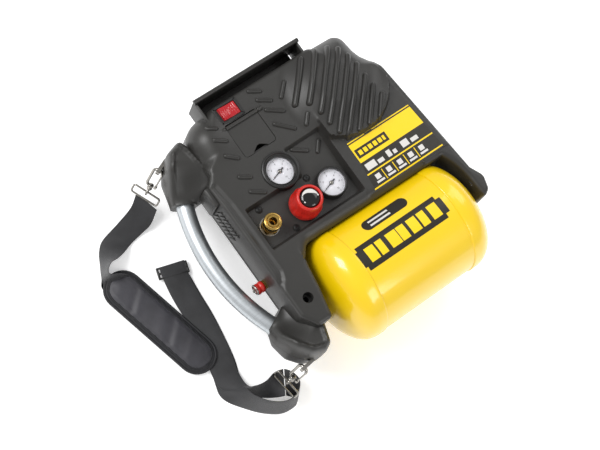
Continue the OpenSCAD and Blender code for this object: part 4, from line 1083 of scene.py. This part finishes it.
# %% Cord-wrap flange
wrap = [block("wrap_plate", (-112, 203.6, 102), (66, 207.4, 151.6), 1.4, housing_plastic),
        block("wrap_web", (-106, 185.5, 102), (60, 205, 106), 1.0, housing_plastic),
        block("wrap_side", (-112, 172, 102), (-108, 206, 148), 1.8, housing_plastic),
        block("wrap_side", (62, 180, 102), (66, 206, 148), 1.8, housing_plastic)]
wrap.append(sweep("wrap_bead", [(-112.5, 205.2, 150.4), (66.5, 205.2, 150.4)], disc(3.2),
                  housing_plastic))
wrap_flange = join("wrap_flange", wrap)
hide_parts("cord_wrap")

# %% [markdown]
# ## Strap
# The webbing is one ribbon in two stretches. Each is drawn between the two edges it follows,
# with a twist where it turns over, and its weave runs along its own length. It lies on the
# floor, stands on edge where it curls, and rises to the rings.

# %% Ribbons of webbing
def smooth_line(stations, parts):
    """A smooth curve through stations, each a row of numbers."""
    s = np.array(stations, float)
    s = np.vstack([2 * s[0] - s[1], s, 2 * s[-1] - s[-2]])
    out = []
    for i in range(1, len(s) - 2):
        for k in range(parts):
            t = k / parts
            out.append(0.5 * (2 * s[i] + (s[i + 1] - s[i - 1]) * t
                              + (2 * s[i - 1] - 5 * s[i] + 4 * s[i + 1] - s[i + 2]) * t ** 2
                              + (3 * s[i] - s[i - 1] - 3 * s[i + 1] + s[i + 2]) * t ** 3))
    return np.array(out + [s[-2]])


web_width, web_thick = 37.5, 1.5


def ribbon(name, stations, across=8, parts=10):
    """Webbing between two edges. Each station is the left edge's point, then the right one's."""
    line = smooth_line([a + b for a, b in stations], parts)
    left, right_side = line[:, :3], line[:, 3:]
    middle = (left + right_side) / 2
    length = np.concatenate([[0], np.cumsum(np.linalg.norm(np.diff(middle, axis=0), axis=1))])
    t = np.gradient(middle, axis=0)
    side = right_side - left
    side /= np.linalg.norm(side, axis=1)[:, None]
    normal = np.cross(t, side)
    normal /= np.linalg.norm(normal, axis=1)[:, None]
    points, uv = [], []
    for face in (1, -1):
        for i in range(len(middle)):
            for k in range(across + 1):
                u = k / across - 0.5
                edge = 1 - 0.5 * (abs(u) > 0.49)
                p = middle[i] + side[i] * u * web_width + normal[i] * face * edge * web_thick / 2
                points.append((p[0], p[1], max(p[2], 0.1)))
                uv.append((u * web_width * MM, length[i] * MM))
    n, m = len(middle), across + 1
    faces = [(i * m + k, i * m + k + 1, (i + 1) * m + k + 1, (i + 1) * m + k)
             for i in range(n - 1) for k in range(across)]
    off = n * m
    faces += [tuple(off + j for j in reversed(f)) for f in faces]
    for i in range(n - 1):
        faces += [(i * m, (i + 1) * m, off + (i + 1) * m, off + i * m),
                  (i * m + across, off + i * m + across, off + (i + 1) * m + across,
                   (i + 1) * m + across)]
    last = (n - 1) * m
    faces += [(k, off + k, off + k + 1, k + 1) for k in range(across)]
    faces += [(last + k, last + k + 1, off + last + k + 1, off + last + k)
              for k in range(across)]
    mesh = bpy.data.meshes.new(name)
    mesh.from_pydata([tuple(c * MM for c in p) for p in points], [], faces)
    layer = mesh.uv_layers.new(name="UVMap")
    for loop in mesh.loops:
        layer.data[loop.index].uv = uv[loop.vertex_index]
    mesh.materials.append(webbing_cloth)
    mesh.shade_smooth()
    mesh.set_sharp_from_angle(angle=math.radians(50))
    made = bpy.data.objects.new(name, mesh)
    scene.collection.objects.link(made)
    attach(made, ROOT)
    return made, float(length[-1])


upper_run = [((-218, 166, 27), (-207, 131, 23)), ((-236, 152, 22), (-224, 121, 12)),
             ((-262, 146, 12), (-240, 117, 4)), ((-288, 140, 3), (-264, 112, 4)),
             ((-304, 128, 2), (-291, 103, 24)), ((-314, 112, 1.5), (-308, 100, 35)),
             ((-322, 96, 1.5), (-318, 90, 33)), ((-325, 82, 1), (-306, 82, 14)),
             ((-318, 66, 1.2), (-288, 70, 1.2)), ((-310, 40, 1.2), (-276, 50, 1.2))]
lower_run = [((-249, 62, 8), (-213, 52, 8)), ((-254, 42, 6), (-218, 31, 6)),
             ((-258, 10, 3), (-222, 0, 3)), ((-260, -30, 3), (-225, -42, 3)),
             ((-264, -70, 3), (-231, -84, 3)), ((-274, -105, 4), (-241, -120, 4)),
             ((-272, -130, 4), (-246, -144, 14)), ((-254, -152, 4), (-241, -153, 36)),
             ((-236, -170, 6), (-225, -156, 40)), ((-222, -182, 14), (-206, -152, 34)),
             ((-212, -190, 24), (-190, -153, 26))]
return_run = [((-210, -190, 22), (-188, -154, 23)), ((-200, -197, 12), (-183, -164, 28)),
              ((-194, -200, 4), (-184, -182, 36)), ((-202, -207, 1.5), (-198, -194, 38)),
              ((-224, -204, 1.5), (-217, -194, 37)), ((-246, -188, 1.5), (-237, -180, 36)),
              ((-264, -166, 1.5), (-250, -160, 32)), ((-277, -142, 1.5), (-252, -146, 18)),
              ((-277, -118, 1.2), (-244, -134, 1.2)), ((-266, -84, 1.2), (-233, -100, 1.2)),
              ((-258, -30, 1.2), (-223, -42, 1.2)), ((-255, 10, 1.2), (-220, 0, 1.2)),
              ((-252, 42, 1.2), (-217, 31, 1.2))]
runs = [ribbon("webbing_run", s) for s in (upper_run, lower_run, return_run)]
strap = join("strap_webbing_runs", [o for o, _ in runs])
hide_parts("strap_webbing")

# %% Strap slider
# A three-bar slider of black nylon locks the webbing's length at the fold.
across = Vector((-217, 45, 0)) - Vector((-252, 56, 0))
turn = Matrix.Rotation(math.atan2(across.y, across.x), 3, "Z")
centre = Vector((-234.5, 47.5, 5.5))
bars = [block("slider_bar", centre + Vector(a), centre + Vector(b), 1.0, black_plastic,
              turn=turn, about=centre)
        for a, b in (((-23, -8, -1.7), (-19.6, 10, 1.7)), ((19.6, -8, -1.7), (23, 10, 1.7)),
                     ((-22, 7, -1.7), (22, 10, 1.7)), ((-22, -8, -1.7), (22, -5, 1.7)),
                     ((-22, -1, -1.2), (22, 2.4, 1.8)))]
slider = join("strap_slider_bars", bars)
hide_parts("strap_slider")

# %% [markdown]
# ## Shoulder pad
# Foam in coated nylon, bound round its rim with a piping and sewn along a line inside it. The
# cloth is swelled by a short pressure simulation, then the seam is pressed in and the piping and
# stitches are added, with a welt over the edge of the binding.

# %% Shoulder pad
pad_centre, pad_turn = Vector((-292, -3, 0)), Matrix.Rotation(math.radians(-76), 3, "Z")
pad_r, pad_half = 28, 68


def pad_line(shrink, z, parts=16):
    """The pad's outline, moved inwards, at one height."""
    points = []
    for s in (1, -1):
        for k in range(parts + 1):
            a = math.radians(-90 + 180 * k / parts)
            r = pad_r - shrink
            points.append(Vector((s * (pad_half + r * math.cos(a)), s * r * math.sin(a), z)))
    dense = []
    for i, p in enumerate(points):
        q = points[(i + 1) % len(points)]
        n = max(1, int((q - p).length / 5))
        dense += [p.lerp(q, k / n) for k in range(n)]
    return [pad_centre + pad_turn @ p for p in dense]


def inside_edge(p):
    """The pad's own coordinates of a point, and how far inside the pad's edge it lies."""
    q = pad_turn.transposed() @ (Vector(p) - pad_centre)
    return q, pad_r - math.hypot(max(abs(q.x) - pad_half, 0), q.y)


rings = [(2.6, 1.0), (1.4, 2.2), (0.8, 4.5), (1.6, 6.6), (4.5, 8.4), (9.0, 9.2), (14, 9.6),
         (20, 9.8), (26, 9.8)]
lines = [pad_line(d, z) for d, z in rings]
n = len(lines[0])
lines = [[l[int(i * len(l) / n)] for i in range(n)] for l in lines]
points = [p for l in lines for p in l]
faces = ring_faces(len(lines), n)
faces += [tuple(range(n))[::-1], tuple(range((len(lines) - 1) * n, len(lines) * n))]
pad = piece("shoulder_pad_cover", points, faces, pad_cloth, ROOT, 60)


def seam_depth(p):
    """How far the sewn line presses the cover in, from a point on the pad."""
    return 2.2 * math.exp(-((inside_edge(p)[1] - 7.5) / 1.5) ** 2)


def swell(obj, pressure, frames, cap):
    """Swells a closed cover by a short cloth simulation and applies the result."""
    remesh = obj.modifiers.new("even", "REMESH")
    remesh.mode, remesh.voxel_size = "VOXEL", 3.2 * MM
    bpy.context.view_layer.objects.active = obj
    obj.select_set(True)
    bpy.ops.object.modifier_apply(modifier="even")
    start = np.array([tuple(v.co) for v in obj.data.vertices])
    held = obj.vertex_groups.new(name="floor")
    held.add([v.index for v in obj.data.vertices if v.co.z < 2.2 * MM], 1.0, "REPLACE")
    cloth = obj.modifiers.new("cloth", "CLOTH")
    cloth.settings.use_pressure = True
    cloth.settings.uniform_pressure_force = pressure
    cloth.settings.vertex_group_mass = "floor"
    cloth.settings.effector_weights.gravity = 0
    cloth.settings.tension_stiffness = 12
    cloth.settings.bending_stiffness = 0.4
    cloth.point_cache.frame_start, cloth.point_cache.frame_end = 1, frames
    for f in range(1, frames + 1):
        scene.frame_set(f)
    bpy.ops.object.modifier_apply(modifier="cloth")
    end = np.array([tuple(v.co) for v in obj.data.vertices])
    move = end - start
    far = np.linalg.norm(move, axis=1)
    move *= np.minimum(1, cap * MM / np.maximum(far, 1e-9))[:, None]
    obj.data.vertices.foreach_set("co", (start + move).ravel())
    obj.vertex_groups.clear()
    scene.frame_set(1)
    print("swelled by", round(float(far.max()) / MM, 1), "mm at most")


swell(pad, 4.0, 16, 4.0)
for v in pad.data.vertices:
    p = v.co / MM
    q, inner = inside_edge(p)
    wrinkle = sum(math.exp(-((q.x - c + 0.5 * q.y) / w) ** 2) * h for c, w, h in
                  ((-48, 6, -1.6), (-40, 5, 1.2), (20, 7, -1.4), (29, 5, 1.0), (55, 5, 0.9),
                   (4, 9, 0.7), (-75, 7, 0.8)))
    wrinkle *= float(ease((inner - 9) / 5))
    up_share = float(ease((p.z - 5) / 3))
    v.co.z += (wrinkle - seam_depth(p)) * up_share * MM
pad.data.materials.append(piping_cloth)
for face in pad.data.polygons:
    if inside_edge(face.center / MM)[1] < 7.2:
        face.material_index = 1
pad.data.shade_smooth()
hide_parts("shoulder_pad")
sweep("pad_piping", pad_line(1.2, 5.6), disc(2.0, 12), piping_cloth, closed=True)
stitches = []
welt = []
for p in pad_line(7.2, 0):
    hit = pad.ray_cast(Vector((p.x, p.y, 60)) * MM, Vector((0, 0, -1)))
    welt.append((p.x, p.y, hit[1].z / MM + 0.2 if hit[0] else 8))
sweep("pad_welt", welt, disc(1.1, 10), piping_cloth, closed=True)
route = pad_line(5.2, 0)
for k in range(0, len(route)):
    a, b = route[k], route[(k + 1) % len(route)]
    for share in (0.1, 0.6):
        p, q = a.lerp(b, share), a.lerp(b, share + 0.32)
        hit = pad.ray_cast(Vector((p.x, p.y, 60)) * MM, Vector((0, 0, -1)))
        z = hit[1].z / MM + 0.1 if hit[0] else 8
        stitches.append(sweep("stitch", [(p.x, p.y, z), (q.x, q.y, z)], disc(0.35, 6),
                              piping_cloth))
join("pad_stitching", stitches)
print("pad done, stitches:", len(route) * 2)

# %% [markdown]
# ## Snap hooks
# Each hook is plated zinc: a curved nose through the anchor, a sprung gate, a swivel barrel and
# an eye that holds the webbing's wire ring. The gate stays the CAD part, since it swings.

# %% Snap hooks
def hook_place(at, tilt, heading):
    """The matrix that carries a hook drawn along +X to its anchor."""
    return Matrix.Translation(Vector((at[0], at[1], split_z))) @ Matrix.Rotation(
        math.radians(heading), 4, "Z") @ Matrix.Rotation(math.radians(tilt), 4, "Y")


def snap_hook(name, at, tilt, heading, node):
    """The visual body of one snap hook."""
    m = hook_place(at, tilt, heading)
    nose = [(7 + 7 * math.cos(a), 7 * math.sin(a), 0)
            for a in np.linspace(math.radians(95), math.radians(270), 20)]
    nose = nose + [(29, -7, 0), (32, -5.5, 0), (33, -2, 0)]
    wire = [(2.1 * math.cos(a), 2.6 * math.sin(a)) for a in np.linspace(0, 2 * math.pi, 15)[:-1]]
    parts = [sweep("hook_nose", [m @ Vector(p) for p in nose], wire, nickel,
                   turn=m.to_3x3() @ Vector((0, 1, 0)))]
    axis = m.to_3x3() @ Vector((1, 0, 0))
    parts.append(lathe("hook_barrel", [(0, 30.2), (3.4, 30.2), (4.2, 31), (4.2, 33.4),
                                       (3.1, 34.2), (3.1, 36), (3.9, 36.6), (4.1, 38.4),
                                       (3.4, 39.6), (2.2, 40.2), (2, 42)],
                       m @ Vector((0, 0, 0)), axis, nickel, steps=40, sharp=50))
    eye = [m @ Vector((44 + 5 * math.cos(a), 0, 5 * math.sin(a)))
           for a in np.linspace(0, 2 * math.pi, 33)[:-1]]
    parts.append(sweep("hook_eye", eye, disc(1.7, 12), nickel, closed=True))
    made = join(name, parts)
    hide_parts(node)
    corners = [(46, -21), (60, -21), (60, 21), (46, 21)]
    path = rounded([(x, y, 3.5) for x, y in corners], 1.0)
    ring = sweep(name + "_ring", [m @ Vector((x, y, 0)) for x, y in path], disc(1.5, 12), nickel,
                 closed=True)
    return ring


upper_ring = snap_hook("upper_snap_hook", (-189, 164), 60, 203, "hook_upper")
snap_hook("lower_snap_hook", (-183, -173), 66, 187, "hook_lower")
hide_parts("webbing_rings")
print("hooks done")

# %% [markdown]
# ## Safety valve
# A brass body carries a knurled red cap, and a thin split ring hangs from its stem to be pulled
# by hand.

# %% Safety valve
valve_cap = lathe("safety_valve_red_cap",
                  [(2.2, 0), (6.4, 0), (7.4, 0.7), (7.8, 1.8), (7.8, 4.6), (7.2, 5.2),
                   (7.2, 6.6), (7.8, 7.2), (7.8, 11.2), (7.2, 12.4), (5.4, 12.9)],
                  (-180, -50, 100), (1, 0, 0), red_plastic, steps=72, sharp=50,
                  radius=lambda r, h, a: r + (0.25 * math.cos(24 * a) if r > 7.5 else 0))
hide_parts("safety_valve_cap")

# %% [markdown]
# ## The carried-over CAD parts
# Everything else keeps its CAD shape and takes the material of its slot.

# %% Materials for CAD nodes
slot_material = {
    "charcoal_plastic": housing_plastic, "dark_plastic": rear_plastic_painted_shade,
    "black_plastic": black_plastic, "gloss_black": gloss_black, "yellow_paint": enamel,
    "aluminium_tube": tube_metal, "cast_aluminium": cast_metal, "plated_steel": nickel,
    "dark_steel": dark_steel, "red_plastic": red_plastic, "red_translucent": red_clear,
    "dial_white": dial_card, "needle_black": ink, "clear_lens": lens_clear,
    "pale_plastic": pale_plastic, "brass": brass, "copper_pipe": copper, "rubber": rubber,
    "webbing": webbing_cloth, "pad_fabric": pad_cloth}
for entry in frame["record"]["subparts"]:
    node = frame["nodes"][entry["node"]]
    node.data.materials.clear()
    node.data.materials.append(slot_material[entry["material_slot"]])
    node.data.shade_smooth()
    node.data.set_sharp_from_angle(angle=math.radians(30))
print("CAD nodes finished:", len(frame["nodes"]))
